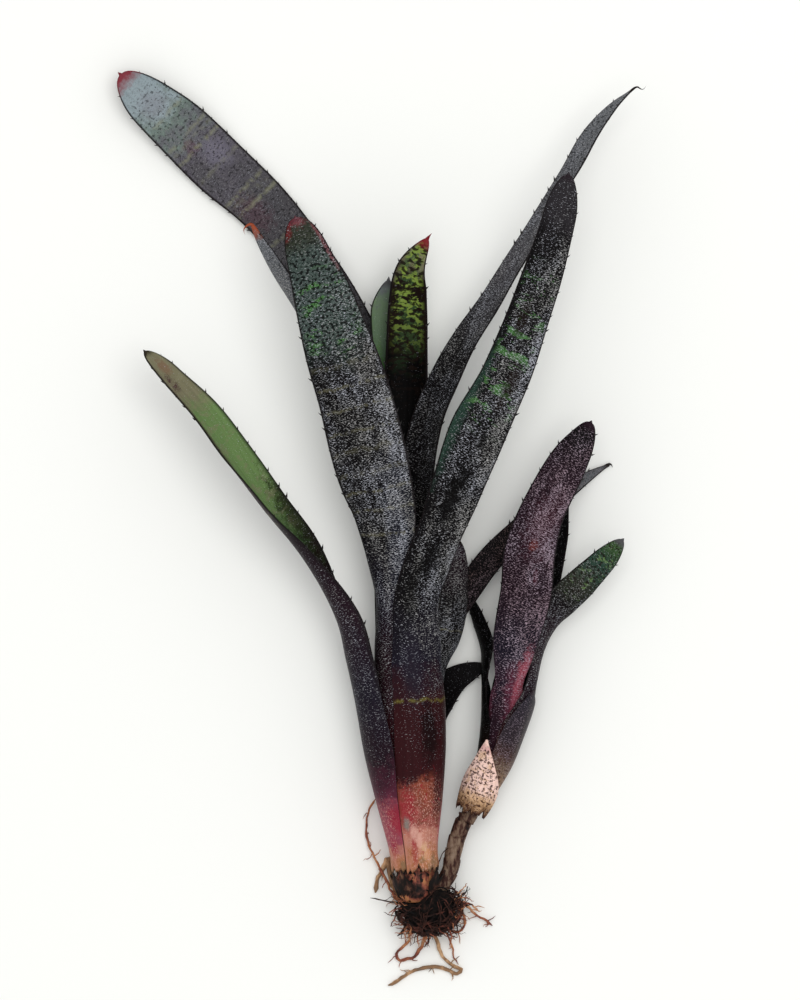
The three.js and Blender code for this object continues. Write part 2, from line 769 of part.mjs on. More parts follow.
// Each root: radius at its start, radius at its end, then the points it runs through.
const LONG_ROOTS = [
  [1, 0.8, [3, -14, 6], [4.2, -20, 3.4], [2.6, -26, 1.6], [-0.6, -31.4, 1.4], [-3.4, -32, 1.4],
    [-7, -32.6, 1.5], [-7.6, -29.4, 1.8], [-3, -25, 2.6], [-2.6, -21, 4], [-2, -14, 7]],
  [0.9, 0.7, [6, -15, 6], [7, -21, 3.6], [8.8, -26, 2], [10.6, -31, 1.3], [15, -35, 1.2],
    [18.6, -36.8, 1.2], [15.6, -38, 1.1], [12, -36.2, 1.1], [6, -35.4, 1.1], [-1, -36.8, 1.1],
    [-4.8, -39.2, 1.1], [-8.4, -41.4, 1], [-11.2, -42.8, 1]],
  [0.7, 0.5, [9, -16, 7], [12.6, -22.6, 3.6], [14.8, -28, 1.6], [15, -31, 1], [17, -34.4, 0.8]],
  [1, 0.6, [11, -11, 8], [17.8, -9, 7], [21.6, -12, 5], [24, -14.4, 3], [27.6, -16.4, 1.6],
    [30.8, -19, 1]],
  [0.7, 0.5, [12, -12, 7], [19.4, -9.6, 5], [23.2, -11, 3.6], [25.4, -13.6, 2.6]],
  [0.8, 0.6, [12, -10, 5], [17, -12, 3], [19.6, -15.4, 1.8], [19.4, -19, 1.3], [17, -21.4, 1.1],
    [13.6, -20.4, 1.6], [11, -16, 4]],
  [0.8, 0.6, [-2, -13, 8], [-9, -6, 5], [-13, 2, 3.6], [-16.4, 8, 2.8], [-18.8, 13.4, 2],
    [-20, 19, 1.6], [-19, 27, 1.6], [-16.4, 32, 1.8]],
  [1.1, 0.9, [-1, -14, 6], [-8, -5.4, 2.8], [-10.6, 3, 2], [-11.4, 8.6, 1.6], [-13.4, 4, 1.5],
    [-15.6, -0.6, 1.4], [-16.2, -5.6, 1.3]],
  [0.6, 0.45, [0, -12, 9], [-8, -9.4, 8], [-13, -8.6, 6.4], [-18.2, -7.6, 5]],
  [0.7, 0.5, [1, -16, 6], [-3, -19, 3.6], [-7.4, -23, 1.6]],
];

function rootMass() {
  const ball = new THREE.IcosahedronGeometry(1, 3);
  const place = ball.attributes.position;
  const point = new THREE.Vector3();
  for (let i = 0; i < place.count; i += 1) {
    point.fromBufferAttribute(place, i).normalize();
    const lump = Math.sin(5.1 * point.x + 1) * Math.sin(6.3 * point.y + 2)
      + Math.sin(7.7 * point.z + 4 * point.x);
    point.multiplyScalar(1 + 0.5 * ROOT_MASS_LUMPS * lump);
    point.multiply(vector(ROOT_MASS_RADII)).add(vector(ROOT_MASS_CENTRE));
    place.setXYZ(i, point.x, point.y, Math.max(point.z, ROOT_MASS_LOWEST));
  }
  return solidOf(ball);
}

// Short roots that stand out all round the mass, drooping to the surface.
function shortRoots() {
  const random = seeded(5);
  const centre = vector(ROOT_MASS_CENTRE);
  return Array.from({ length: SHORT_ROOTS }, (_, i) => {
    const turn = Math.PI * (0.95 + (1.35 * (i + random() * 0.6)) / SHORT_ROOTS);
    const out = new THREE.Vector3(Math.cos(turn), Math.sin(turn), random() * 0.9 - 0.35);
    const reach = 15 + 7 * random();
    const far = centre.clone().addScaledVector(out, reach);
    const middle = centre.clone().addScaledVector(out, reach * 0.7);
    far.z = Math.max(1, far.z - 5);
    middle.z = Math.max(1.6, middle.z);
    far.x += 5 * (random() - 0.5);
    const start = centre.clone().addScaledVector(out, 6);
    return limb([start.toArray(), middle.toArray(), far.toArray()], [0.7, 0.4], 4, ROOT_STEP);
  });
}

function rootsGeometry() {
  const roots = LONG_ROOTS.map(([from, to, ...points]) => limb(points, [from, to], 5, ROOT_STEP));
  const whole = [...roots, ...shortRoots()].reduce((sum, root) => sum.add(root), rootMass());
  const socket = [5.4, 8.4, 9.2, 9.4].map((radius) => radius + STEM_CLEARANCE);
  const stemRoom = limb([[0.2, -9.6, 12], [0, -6, 12.1], [0, -3.6, 12.2]], socket, 16, 2);
  const baseRoom = limb([[0, -4.2, 12.2], [0, 2, 12.5], [-0.6, 10, 13]], [8.8, 10.4, 10.4, 10.4], 16, 3);
  const cut = whole.subtract(stemRoom.add(baseRoom)).subtract(stolon(STEM_CLEARANCE + 0.5));
  const largest = cut.decompose().reduce((most, piece) => (piece.volume() > most.volume() ? piece : most));
  return geometryOf(largest);
}

// ---- Assembly ----
const FLAT_SPOT_LEAF = "leaf_right_low";
const GROUND_SIZE = 600; // more than the plant's length

// What lies below the surface is pressed flat, so that the part has a small face to rest on.
function restOnSurface(geometry) {
  const ground = new THREE.BoxGeometry(GROUND_SIZE, GROUND_SIZE, GROUND_SIZE);
  ground.translate(0, 0, -GROUND_SIZE / 2);
  return geometryOf(solidOf(geometry).subtract(solidOf(ground)));
}

const FOOTPRINT_CENTRE = [-15, 140.3, 0];
const plant = new THREE.Group();

function addNode(name, geometry, color, roughness = 0.5) {
  const finish = new THREE.MeshStandardMaterial({ color, roughness, metalness: 0 });
  const mesh = new THREE.Mesh(geometry, finish);
  mesh.name = name;
  mesh.position.copy(vector(FOOTPRINT_CENTRE).negate());
  plant.add(mesh);
}

LEAVES.forEach((leaf, i) => {
  const shape = leafGeometry({ ...leaf, seed: 11 + i });
  addNode(leaf.name, leaf.name === FLAT_SPOT_LEAF ? restOnSurface(shape) : shape, leaf.color);
});
addNode("stem", stemGeometry(), 0xa97a5c, 0.8);
addNode("roots", rootsGeometry(), 0x4a2f1e, 0.9);

export default plant;
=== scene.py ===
"""A bare-root neoregelia with one pup on a short stolon, lying flat, grown over its solid model."""
import math
import random

import bpy
import numpy as np
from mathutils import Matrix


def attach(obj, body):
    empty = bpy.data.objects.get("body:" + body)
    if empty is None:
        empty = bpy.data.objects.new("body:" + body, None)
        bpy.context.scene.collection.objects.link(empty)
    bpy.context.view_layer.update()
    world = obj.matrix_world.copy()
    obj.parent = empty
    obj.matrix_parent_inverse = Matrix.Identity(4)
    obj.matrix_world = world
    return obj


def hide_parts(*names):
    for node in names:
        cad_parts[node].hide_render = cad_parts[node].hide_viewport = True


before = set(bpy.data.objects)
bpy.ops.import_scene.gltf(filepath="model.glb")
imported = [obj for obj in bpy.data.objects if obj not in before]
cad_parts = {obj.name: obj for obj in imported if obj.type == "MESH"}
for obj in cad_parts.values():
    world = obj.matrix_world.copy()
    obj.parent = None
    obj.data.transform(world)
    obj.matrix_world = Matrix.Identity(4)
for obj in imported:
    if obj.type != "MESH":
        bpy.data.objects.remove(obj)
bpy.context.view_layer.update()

bl_info = {
    "name": "Neoregelia bromeliad",
    "version": (1, 0, 0),
    "blender": (4, 5, 0),
    "location": "3D View > Sidebar > Neoregelia",
    "description": "Grows the leaves, pup, stem and roots of a neoregelia over its solid model",
    "category": "Add Mesh",
}

MM = 0.001
TURN = 2 * math.pi
FOOTPRINT_CENTRE = np.array([-15.0, 140.3, 0.0])  # where the leaf rows below have the origin
UP = np.array([0.0, 0.0, 1.0])

# ---- The shape of the leaves, in millimetres ----
RING_STEP = 1.5  # from one layer of sheaths to the next layer inside it
SHEATH_THICKNESS = 1.0
LEAST_HALF_WIDTH = 0.45  # at the root of the spine on a leaf's tip

# The tubes that the sheaths roll up into: points on the axis, and the outer radius there.
MAIN_TUBE = [
    ((0, 2, 12.5), 9.7), ((-1, 13, 13.1), 9.9), ((-2.4, 32, 14), 13.2), ((-2.9, 50, 15), 14.8),
    ((-3.2, 72, 15.9), 15.2), ((-3.5, 92, 16.5), 14.8), ((-3.6, 112, 17), 14.2),
]
PUP_TUBE = [
    ((21, 25, 11), 4.2), ((24.4, 33, 11.3), 5.8), ((31, 49, 12), 8.3), ((34, 61, 12.4), 9.9),
    ((36.4, 73, 12.8), 11.9), ((38.2, 86, 13.2), 12.2),
]


def rolled(ring, places, face, curl):
    """Sheath rows that differ only in their place along the tube."""
    return [(ring, y, face, curl) for y in places]


# Each leaf from its base to its tip, as in the solid model or within a millimetre of it. A row of
# four is where the sheath is rolled round its tube: the layer (0 is outermost), the place along
# the tube, the facing and half the curl. A row of six is on the free blade: its middle, half its
# width, half its curl and its facing. A facing of 0 is to the right of the leaf's length, 90 up,
# 180 left and 270 down. A tip ends in a straight spine, or in a hook given as steps from it.
LEAF_SHAPES = {
    "leaf_left_paddle": dict(
        tip_length=17, tip_power=2.1, tip_spine=1.5, spines_from=0.4,
        rows=[(1, 7, 230, 40), (1, 16, 230, 40), *rolled(1, (32, 50, 72), 230, 38),
              (1, 92, 232, 38), (-11, 112, 6.6, 8.2, 38, 240), (-10.4, 135, 4.4, 8.4, 28, 250),
              (-9.8, 160, 4, 8.8, 20, 260), (-14.5, 194, 4, 9.4, 16, 266),
              (-28.8, 226, 2.6, 9, 12, 268), (-44.2, 249.5, 1.5, 9.4, 10, 268),
              (-61, 269.5, 0.9, 10.6, 10, 268), (-78, 285, 1.8, 11.6, 9, 268),
              (-95, 301.5, 4.5, 11.2, 8, 268), (-109.5, 313.8, 7.5, 9, 8, 268),
              (-118.5, 322.5, 10, 7.4, 8, 268)]),
    "leaf_front_left": dict(
        tip_length=15, tip_power=2.2, tip_spine=0.8, spines_from=0.44, torn=1.8,
        rows=[*rolled(1, (7, 16, 32, 50, 72, 92), 130, 52), (1, 112, 126, 50),
              (-11.2, 128, 28, 10.4, 38, 108), (-12.4, 144, 31, 12.4, 26, 100),
              (-16, 158, 35, 14.4, 20, 98), (-20.4, 176, 38, 15, 17, 96),
              (-25, 194, 41, 14.6, 15, 95), (-31, 213, 44, 13.8, 14, 94),
              (-38.2, 236.5, 47, 11, 14, 92), (-43.6, 251, 49, 8.6, 14, 92),
              (-48, 264.5, 50, 6.8, 14, 92)]),
    "leaf_left_folded": dict(
        tip_length=14, tip_power=1.6, spines_from=0.55,
        hook=[(-1.2, -0.2, 0.3), (-2.4, -1.0, 0.4), (-3.2, -2.4, 0.2), (-2.7, -4.2, -0.4)],
        rows=[*rolled(2, (10, 16, 32, 50, 72, 92), 165, 50), (2, 112, 163, 50),
              (-14, 132, 22.5, 8.2, 50, 155), (-15.5, 150, 25, 7.4, 50, 148),
              (-21, 172, 28, 7, 50, 142), (-30, 196, 30, 6.8, 48, 140),
              (-41.5, 220, 31, 6.2, 46, 140), (-53.6, 240, 31, 4.4, 42, 140),
              (-61.6, 253.5, 30.5, 3.2, 38, 140), (-65.6, 262, 30.5, 2.6, 34, 140)]),
    "leaf_front_right": dict(
        tip_length=17, tip_power=1.9, tip_spine=1, spines_from=0.42, torn=1.8,
        rows=[*rolled(0, (4, 13, 32), 51, 60), (-0.1, 50, 52, 60), (-0.15, 62, 56, 56),
              (-0.15, 72, 62, 50), (-0.1, 84, 69, 46), (0, 98, 68, 45), (0, 112, 68, 44),
              (5, 126, 32.2, 9.8, 36, 78), (10.4, 141, 36, 9.2, 30, 86),
              (16.6, 158, 39, 10.4, 26, 90), (25, 180, 42.5, 11.4, 22, 90),
              (35.4, 201, 45, 9.8, 20, 90), (43.2, 221, 47, 8.6, 18, 90),
              (50.8, 243, 49, 7.8, 18, 90), (56.6, 263, 50, 6.6, 18, 90),
              (60.6, 281.6, 50, 5.6, 18, 90)]),
    "leaf_left_low": dict(
        tip_length=13, tip_power=1.9, tip_spine=1, spines_from=0.36, torn=1.8,
        rows=[(0, 4, 180, 66), (-0.05, 13, 180, 66), (-0.3, 32, 178, 66),
              (-20.1, 50, 16.6, 18, 70, 174), (-23.8, 71, 17.4, 15.7, 72, 172),
              (-27.2, 88, 20, 14, 70, 165), (-31.5, 105, 21.4, 12.2, 70, 166),
              (-45.2, 129.8, 22.2, 11.8, 65, 194), (-60.8, 150.9, 25, 11.5, 48, 206),
              (-82.4, 182.7, 26.6, 8.6, 32, 222), (-98.6, 201.2, 27, 5.8, 26, 226),
              (-108.4, 211.4, 27, 4.6, 22, 228)]),
    "leaf_right_long": dict(
        tip_length=34, tip_power=1.35, spines_from=0.5,
        hook=[(0.8, 0.5, 0.2), (1.8, 0.6, 0.3), (2.8, -0.1, 0), (4, -0.2, 0), (5.2, 1.3, 0.4)],
        rows=[*rolled(3, (13, 32, 50, 72, 92), 345, 50), (3, 112, 352, 38),
              (4, 135, 18.2, 7.4, 36, 318), (1.8, 160, 20.6, 8.4, 30, 308),
              (4.6, 180, 22.4, 8.2, 26, 308), (12, 200, 24, 7.6, 24, 310),
              (20.4, 216, 25.4, 6.6, 24, 310), (32.8, 235, 26.6, 5.6, 24, 312),
              (48.4, 261, 27, 4.8, 26, 314), (61, 281.6, 26.4, 4.6, 28, 316),
              (70, 297.5, 25, 4.6, 28, 316), (79, 309.5, 23.4, 4, 28, 316),
              (87, 316.5, 22, 3, 28, 316)]),
    "leaf_centre_spotted": dict(
        tip_length=22, tip_power=1.55, spines_from=0.74,
        hook=[(0.4, 0.6, 0.2), (1.0, 1.3, 0.3), (1.8, 2.2, 0.3)],
        rows=[(4, 16, 280, 60), (4, 32, 280, 55), (4, 50, 280, 50), (4, 72, 280, 50),
              (4, 92, 276, 44), (4, 112, 272, 34), (-3.8, 130, 10.2, 5.4, 30, 270),
              (-3.8, 148, 12, 6.8, 32, 271), (-3.6, 164, 13.6, 8.2, 34, 272),
              (-4, 190, 15.6, 8.8, 28, 272), (-3.6, 216, 18.2, 8.4, 26, 272),
              (-3, 234, 20.6, 7.4, 26, 272), (-1.4, 246, 22.6, 6.6, 26, 272),
              (4.6, 256.5, 25, 5.6, 26, 272)]),
    "leaf_back_green": dict(
        tip_length=12, tip_power=1.6, tip_spine=1.6, spines_from=0.86,
        rows=[*rolled(3, (13, 32, 50, 72, 92), 250, 42), (3, 112, 252, 40),
              (-5.6, 138, 7.9, 6.2, 28, 260), (-6, 164, 9, 6.6, 22, 264),
              (-8, 190, 10.8, 6.8, 18, 266), (-10.6, 212, 12.2, 6.6, 18, 266),
              (-12.2, 228, 13.6, 6, 18, 266), (-11, 240, 15, 4.6, 18, 266)]),
    "leaf_right_short": dict(
        tip_length=16, tip_power=1.7, tip_spine=1.2, spines_from=0.72,
        rows=[*rolled(1, (7, 16, 32, 50), 15, 50), (1, 62, 13, 46), (1, 72, 12, 42),
              (10.7, 84, 16.8, 7, 38, 22), (13.6, 95, 18.6, 7, 38, 48), (15.7, 107, 18, 7, 35, 56),
              (16.8, 122, 18.6, 6, 32, 60), (16.9, 135.8, 20, 4.8, 30, 60)]),
    "leaf_right_arching": dict(
        tip_length=36, tip_power=1.4, spines_from=0.6,
        hook=[(0.7, 0.4, 0.1), (1.4, 0.1, 0.1), (2.0, -1.1, 0)],
        rows=[*rolled(2, (10, 16, 32, 50), 335, 42), (2, 72, 330, 38), (2, 80, 322, 34),
              (7.4, 89, 9.6, 5.4, 30, 310), (13.4, 103.6, 7.6, 5.6, 26, 298),
              (21.6, 116.6, 8, 5.4, 22, 288), (30.6, 128.8, 8.6, 5.2, 20, 286),
              (42.4, 140.4, 7.2, 4.8, 18, 284), (52, 149, 5.4, 4.6, 16, 282),
              (62, 156.6, 3, 4.2, 14, 280), (70, 162, 1.4, 3.8, 12, 278),
              (77, 166, 1.2, 3, 12, 276)]),
    "leaf_right_low": dict(
        tip_length=12, tip_power=1.9, tip_spine=1, spines_from=0.72,
        rows=[*rolled(0, (4, 13, 32), 300, 43), (-0.1, 50, 300, 43), (4.8, 64, 1.4, 10, 38, 298),
              (10, 74.5, 1.5, 7.8, 24, 288), (16.6, 80.6, 2, 5, 16, 280),
              (22.6, 83.6, 2.4, 3.8, 14, 276), (28.6, 85.6, 2.8, 3, 14, 274)]),
    "pup_leaf_front": dict(
        tip_length=14, tip_power=2.4, tip_spine=1, spines_from=0.4,
        rows=[(2, 40, 90, 60), (2, 48, 90, 60), (2, 60, 90, 58), (2, 73, 90, 50), (2.3, 80, 90, 43),
              (39.6, 95, 25.2, 9.2, 31, 92), (44, 115, 26.6, 10.4, 26, 92),
              (45.4, 131, 27.6, 10.2, 22, 92), (50.2, 147, 28.6, 9, 20, 92),
              (60.2, 166, 29, 7.8, 18, 92), (66.8, 177, 28.5, 5.6, 18, 92),
              (69.8, 183, 28, 4.2, 18, 92)]),
    "pup_leaf_right": dict(
        tip_length=12, tip_power=1.9, tip_spine=1, spines_from=0.45,
        rows=[(1, 35, 24, 60), (1, 48, 26, 62), (1, 60, 30, 62), (0.7, 73, 18, 46),
              (0.6, 80, 12, 38), (50.2, 90, 12.8, 7.3, 36, 13), (53.6, 101, 17, 7.2, 34, 38),
              (59.6, 111.6, 19, 7, 28, 62), (66.6, 119, 20, 6.2, 22, 75),
              (76.4, 129, 21, 4.8, 20, 82), (82.6, 136, 22, 3.8, 20, 82)]),
    "pup_leaf_back": dict(
        tip_length=16, tip_power=1.6, tip_spine=1, spines_from=0.6,
        rows=[(2, 40, 270, 58), (2, 48, 270, 58), (2, 60, 270, 56), (2, 73, 270, 50),
              (41, 90, 5.6, 6.4, 34, 272), (47.6, 106, 7.2, 6.6, 30, 274),
              (52.4, 120, 9.6, 5.6, 26, 276), (55.8, 135, 11.8, 5, 24, 278),
              (58.4, 146, 13.2, 4.2, 24, 280), (60.6, 152.5, 14, 3, 24, 280)]),
    "pup_leaf_left": dict(
        tip_length=14, tip_power=1.6, tip_spine=1, spines_from=0.55,
        rows=[*rolled(1, (35, 48, 60), 180, 55), (1, 73, 188, 40), (26.6, 84, 11.6, 6.2, 34, 174),
              (27, 94, 10.6, 5.8, 32, 154), (24, 104.6, 6.4, 4.6, 28, 146),
              (20.6, 115.6, 4.2, 3.4, 26, 140)]),
    "pup_bract_dark": dict(
        tip_length=16, tip_power=1.7, tip_spine=0.5, spines_from=1,
        rows=[(-0.2, 29, 20, 60), (-0.2, 36, 22, 60), (-0.2, 48, 30, 66), (-0.2, 60, 33, 52),
              (-0.2, 72, 34, 34), (-0.2, 77.4, 34, 24)]),
    "pup_bract_papery": dict(
        tip_length=20, tip_power=1.3, tip_spine=0.4, spines_from=1, torn=1.5,
        rows=[(-1.4, 27, 94, 80), (-1.4, 33, 96, 78), (-1.4, 39, 100, 64), (-1.3, 46, 108, 46),
              (-1.2, 55, 114, 30)]),
}


# ---- The form of a leaf ----
ACROSS = 28  # faces across a leaf
STATION_STEP = 1.5
LEAST_STATIONS = 8
TIP_STATIONS = 26
SPINE_RINGS = 12  # in the spine or hook at a leaf's tip
GROUND_GAP = 0.03  # the lowest that any skin reaches
LINE_SAMPLES = 401  # along a leaf's middle, to measure its length
FREE_FADE = 20.0  # over which the margins of a free blade begin to ripple
RIPPLE_PERIODS = (5.3, 8.9, 13.7)
TORN_PACES = (5, 11, 19, 31)  # of the tears across the foot of a sheath
TORN_FADE = 5.0
USUAL_TEAR = 0.7
WELD = 0.01


def unit(vectors):
    """The same directions, one long."""
    vectors = np.asarray(vectors, float)
    return vectors / np.linalg.norm(vectors, axis=-1, keepdims=True)


def back_direction(along, face):
    """Where a leaf's back faces, from the direction of its length and its facing in degrees."""
    right = unit(np.cross(along, UP))
    up = unit(np.cross(right, along))
    turn = np.radians(face)[..., None]
    return right * np.cos(turn) + up * np.sin(turn)


def run_lengths(line):
    """How far along a line each of its points lies."""
    return np.concatenate([[0], np.cumsum(np.linalg.norm(np.diff(line, axis=0), axis=1))])


def smooth(points, places):
    """Points on the smooth line through `points`, at places from 0 at its start to 1 at its end."""
    points = np.asarray(points, float)
    padded = np.vstack([2 * points[0] - points[1], points, 2 * points[-1] - points[-2]])
    place = np.clip(np.asarray(places, float), 0, 1) * (len(points) - 1)
    first = np.minimum(place.astype(int), len(points) - 2)
    w = (place - first)[..., None]
    before, start, end, after = (padded[first + k] for k in range(4))
    leave, arrive = (end - before) / 2, (after - start) / 2
    cubic = 2 * start - 2 * end + leave + arrive
    square = -3 * start + 3 * end - 2 * leave - arrive
    return (cubic * w + square) * w * w + leave * w + start


def sheath_row(tube, ring, y, face, curl):
    """A row where the sheath is rolled round a tube: its middle, its heading and its measures."""
    i = 0
    while i < len(tube) - 2 and y > tube[i + 1][0][1]:
        i += 1
    (low, low_radius), (high, high_radius) = tube[i], tube[i + 1]
    part = (y - low[1]) / (high[1] - low[1])
    before, after = tube[max(i - 1, 0)][0], tube[min(i + 2, len(tube) - 1)][0]
    along = unit(np.subtract(after, before))
    radius = low_radius + (high_radius - low_radius) * part
    bend = radius - SHEATH_THICKNESS / 2 - ring * RING_STEP
    centre = np.array(low) + np.subtract(high, low) * part
    place = centre + back_direction(along, np.array(face)) * bend
    return place, along, (bend * math.radians(curl), curl, face)


class LeafForm:
    """A leaf's middle line, with its width, curl and facing at any distance along it."""

    def __init__(self, shape, tube):
        self.shape = shape
        rows = [sheath_row(tube, *row) if len(row) == 4 else (row[:3], None, row[3:])
                for row in shape["rows"]]
        middles, headings, measures = zip(*rows)
        self.points = np.array(middles, float)
        around = np.vstack([self.points[0], self.points, self.points[-1]])
        slopes = unit(around[2:] - around[:-2])
        self.directions = np.array([
            slope if heading is None else heading for slope, heading in zip(slopes, headings)])
        self.measures = np.array(measures)
        self.places = np.linspace(0, 1, LINE_SAMPLES)
        self.reached = run_lengths(smooth(self.points, self.places))
        self.length = self.reached[-1]
        self.free_from = self.length * shape["spines_from"]

    def tip_share(self, s):
        """How much of its width the leaf keeps: 1 away from the tip, rounding off to 0 at it."""
        left = np.clip((self.length - s) / self.shape["tip_length"], 0, 1)
        power = self.shape["tip_power"]
        return (1 - (1 - left) ** power) ** (1 / power)

    def section(self, s):
        """The middle, the directions and the curve of the leaf at distances s along it."""
        places = np.interp(s, self.reached, self.places)
        middle = smooth(self.points, places)
        along = unit(smooth(self.directions, places))
        half, curl, face = smooth(self.measures, places).T
        back = back_direction(along, face)
        side = unit(np.cross(back, along))
        width = np.maximum(half * self.tip_share(s), LEAST_HALF_WIDTH)
        bend = half / np.radians(curl)
        return middle, along, back, side, width, bend

    def surface(self, s, share, level, thickness):
        """Points on the leaf at a share from -1 to 1 across it, and a level from face to back."""
        middle, _, back, side, width, bend = self.section(s)
        angle = share * (width / bend)[:, None]
        ray = back[:, None] * np.cos(angle)[..., None] + side[:, None] * np.sin(angle)[..., None]
        radius = bend[:, None] + level * thickness / 2
        return middle[:, None] - back[:, None] * bend[:, None, None] + ray * radius[..., None], ray

    def margin(self, s, end):
        """A point on the margin at s, with the directions out of it, along it and off its back."""
        stations = np.atleast_1d(float(s))
        middle, along, back, side, width, bend = (part[0] for part in self.section(stations))
        angle = end * width / bend
        ray = back * math.cos(angle) + side * math.sin(angle)
        out = (side * math.cos(angle) - back * math.sin(angle)) * end
        return middle + back * -bend + ray * bend, out, along, ray

    def stations(self):
        """The distances along the leaf that its skin has rings at, closer together at the tip."""
        tip_length = self.shape["tip_length"]
        tip_start = self.length - tip_length
        count = max(LEAST_STATIONS, round(tip_start / STATION_STEP))
        plain = np.linspace(0, tip_start, count, endpoint=False)
        rounding = 1 - (1 - np.linspace(0, 1, TIP_STATIONS)) ** 2
        return np.concatenate([plain, tip_start + tip_length * rounding])


def ring_layout():
    """Places round a section: the share across it, and a level from 1 on its back to -1."""
    across = np.linspace(-1, 1, ACROSS + 1)
    share = np.concatenate([across, [1.0], across[::-1], [-1.0, -1.0]])
    level = np.concatenate([np.ones(ACROSS + 1), [0.0], -np.ones(ACROSS + 1), [0.0, 1.0]])
    return share, level


def turned(offsets, start, end):
    """Offsets turned in the way that turns the direction `start` into the direction `end`."""
    axis = np.cross(start, end)
    tilted = np.cross(axis, offsets)
    return offsets + tilted + np.cross(axis, tilted) / (1 + start @ end)


def with_spine(form, s, places):
    """The rings of a leaf, followed by those of the spine or hook on its tip."""
    centre, direction = form.points[-1], form.section(s[-1:])[1][0]
    steps = form.shape.get("hook") or [direction * form.shape["tip_spine"]]
    line = smooth(centre + np.vstack([np.zeros(3), steps]), np.linspace(0, 1, SPINE_RINGS + 1))
    ways = unit(np.gradient(line, axis=0))
    last = places[-1] - centre
    for k in range(1, SPINE_RINGS + 1):
        left = 1 - k / SPINE_RINGS
        places = np.concatenate([places, (line[k] + turned(last * left, direction, ways[k]))[None]])
        s = np.append(s, s[-1] + np.linalg.norm(line[k] - line[k - 1]))
    return s, places


def leaf_skin(name, form, thickness, margin_thickness, waves, seed):
    """The closed skin of a leaf, rolled up from a flat grid and welded along its seam."""
    rng = np.random.default_rng(seed)
    s = form.stations()
    share, level = ring_layout()
    edge = np.abs(share)
    thick = thickness + (margin_thickness - thickness) * edge ** 3
    thick = np.repeat(thick[None], len(s), axis=0)
    thick[0] = 0
    places, ray = form.surface(s, share, level, thick)

    # The margins of the free blade ripple.
    phase = rng.uniform(0, TURN, len(TORN_PACES))
    ripple = sum(np.sin(s / period + phase[k] + (share > 0)[:, None] * phase[3] * k)
                 for k, period in enumerate(RIPPLE_PERIODS)).T
    free = np.clip((s - form.free_from) / FREE_FADE, 0, 1)[:, None]
    places += ray * (waves * free * edge ** 4 * ripple)[..., None]

    # The edge between back and face stands out a little, so that the rim is round.
    rim = np.sign(share) * (level == 0) * margin_thickness / 2
    _, along, _, side, _, _ = form.section(s)
    places += side[:, None] * rim[None, :, None] * (thick > 0)[..., None]

    # The foot of the sheath is torn.
    tears = sum(np.sin(share * pace + phase[k]) for k, pace in enumerate(TORN_PACES)) / 2.5
    fade = np.clip(1 - s / TORN_FADE, 0, 1)[:, None]
    places += along[:, None] * (form.shape.get("torn", USUAL_TEAR) * tears * fade)[..., None]

    s, places = with_spine(form, s, places)
    places[..., 2] = np.maximum(places[..., 2], GROUND_GAP)
    width = form.section(s)[4]
    grid = np.broadcast_to
    size = places.shape[:2]
    coordinates = {
        "grain": (grid(share, size) * width[:, None], grid(s[:, None], size)),
        "place": (grid(share, size), grid((s / form.length)[:, None], size)),
        "facing": (grid((1 - level) / 2, size), grid((form.length - s)[:, None], size)),
    }
    return rolled_grid(name, places, coordinates)


def select_only(pieces):
    """Selects these pieces and nothing else, with the first of them active."""
    bpy.ops.object.select_all(action="DESELECT")
    for piece in pieces:
        piece.select_set(True)
    bpy.context.view_layer.objects.active = pieces[0]


def rolled_grid(name, places, coordinates=None):
    """A skin through rings of points, from a flat grid that is rolled up, with its UV maps."""
    rings, around = places.shape[:2]
    bpy.ops.object.select_all(action="DESELECT")
    bpy.ops.mesh.primitive_grid_add(x_subdivisions=around - 1, y_subdivisions=rings - 1, size=1)
    piece = bpy.context.object
    piece.name = name
    mesh = piece.data
    settled = places - FOOTPRINT_CENTRE
    mesh.vertices.foreach_set("co", (settled.reshape(-1, 3) * MM).ravel())
    corners = np.zeros(len(mesh.loops), int)
    mesh.loops.foreach_get("vertex_index", corners)
    while mesh.uv_layers:
        mesh.uv_layers.remove(mesh.uv_layers[0])
    for key, (u, v) in (coordinates or {}).items():
        layer = mesh.uv_layers.new(name=key)
        pair = np.stack([np.ravel(u)[corners], np.ravel(v)[corners]], axis=1)
        layer.uv.foreach_set("vector", pair.astype(np.float32).ravel())
    bpy.ops.object.mode_set(mode="EDIT")
    bpy.ops.mesh.select_all(action="SELECT")
    bpy.ops.mesh.remove_doubles(threshold=WELD * MM)
    bpy.ops.mesh.normals_make_consistent(inside=False)
    bpy.ops.object.mode_set(mode="OBJECT")
    bpy.ops.object.shade_smooth()
    return piece


# ---- Thorns along the margins ----
THORN_SIDES = 6
THORN_RADIUS = 0.3  # for a thorn one unit long
THORN_BOW = 0.45
THORN_CUTS = (0.33, 0.66)  # where a thorn has a ring of points, so that it can bow
THORN_LEAN = 0.35  # towards the leaf's tip
THORN_TILT = 0.25  # off the blade, to either side
THORN_FLATNESS = 0.75
THORN_SINK = 0.35  # how deep its root is sunk in the margin
THORN_SIZES = (0.65, 1.25)
THORN_GAPS = (0.55, 1.3)
BARE_TIP = 0.2  # share of a leaf's tip that has no thorns
SMALLER_WITHIN = 30.0  # thorns are smaller and closer this near to the tip


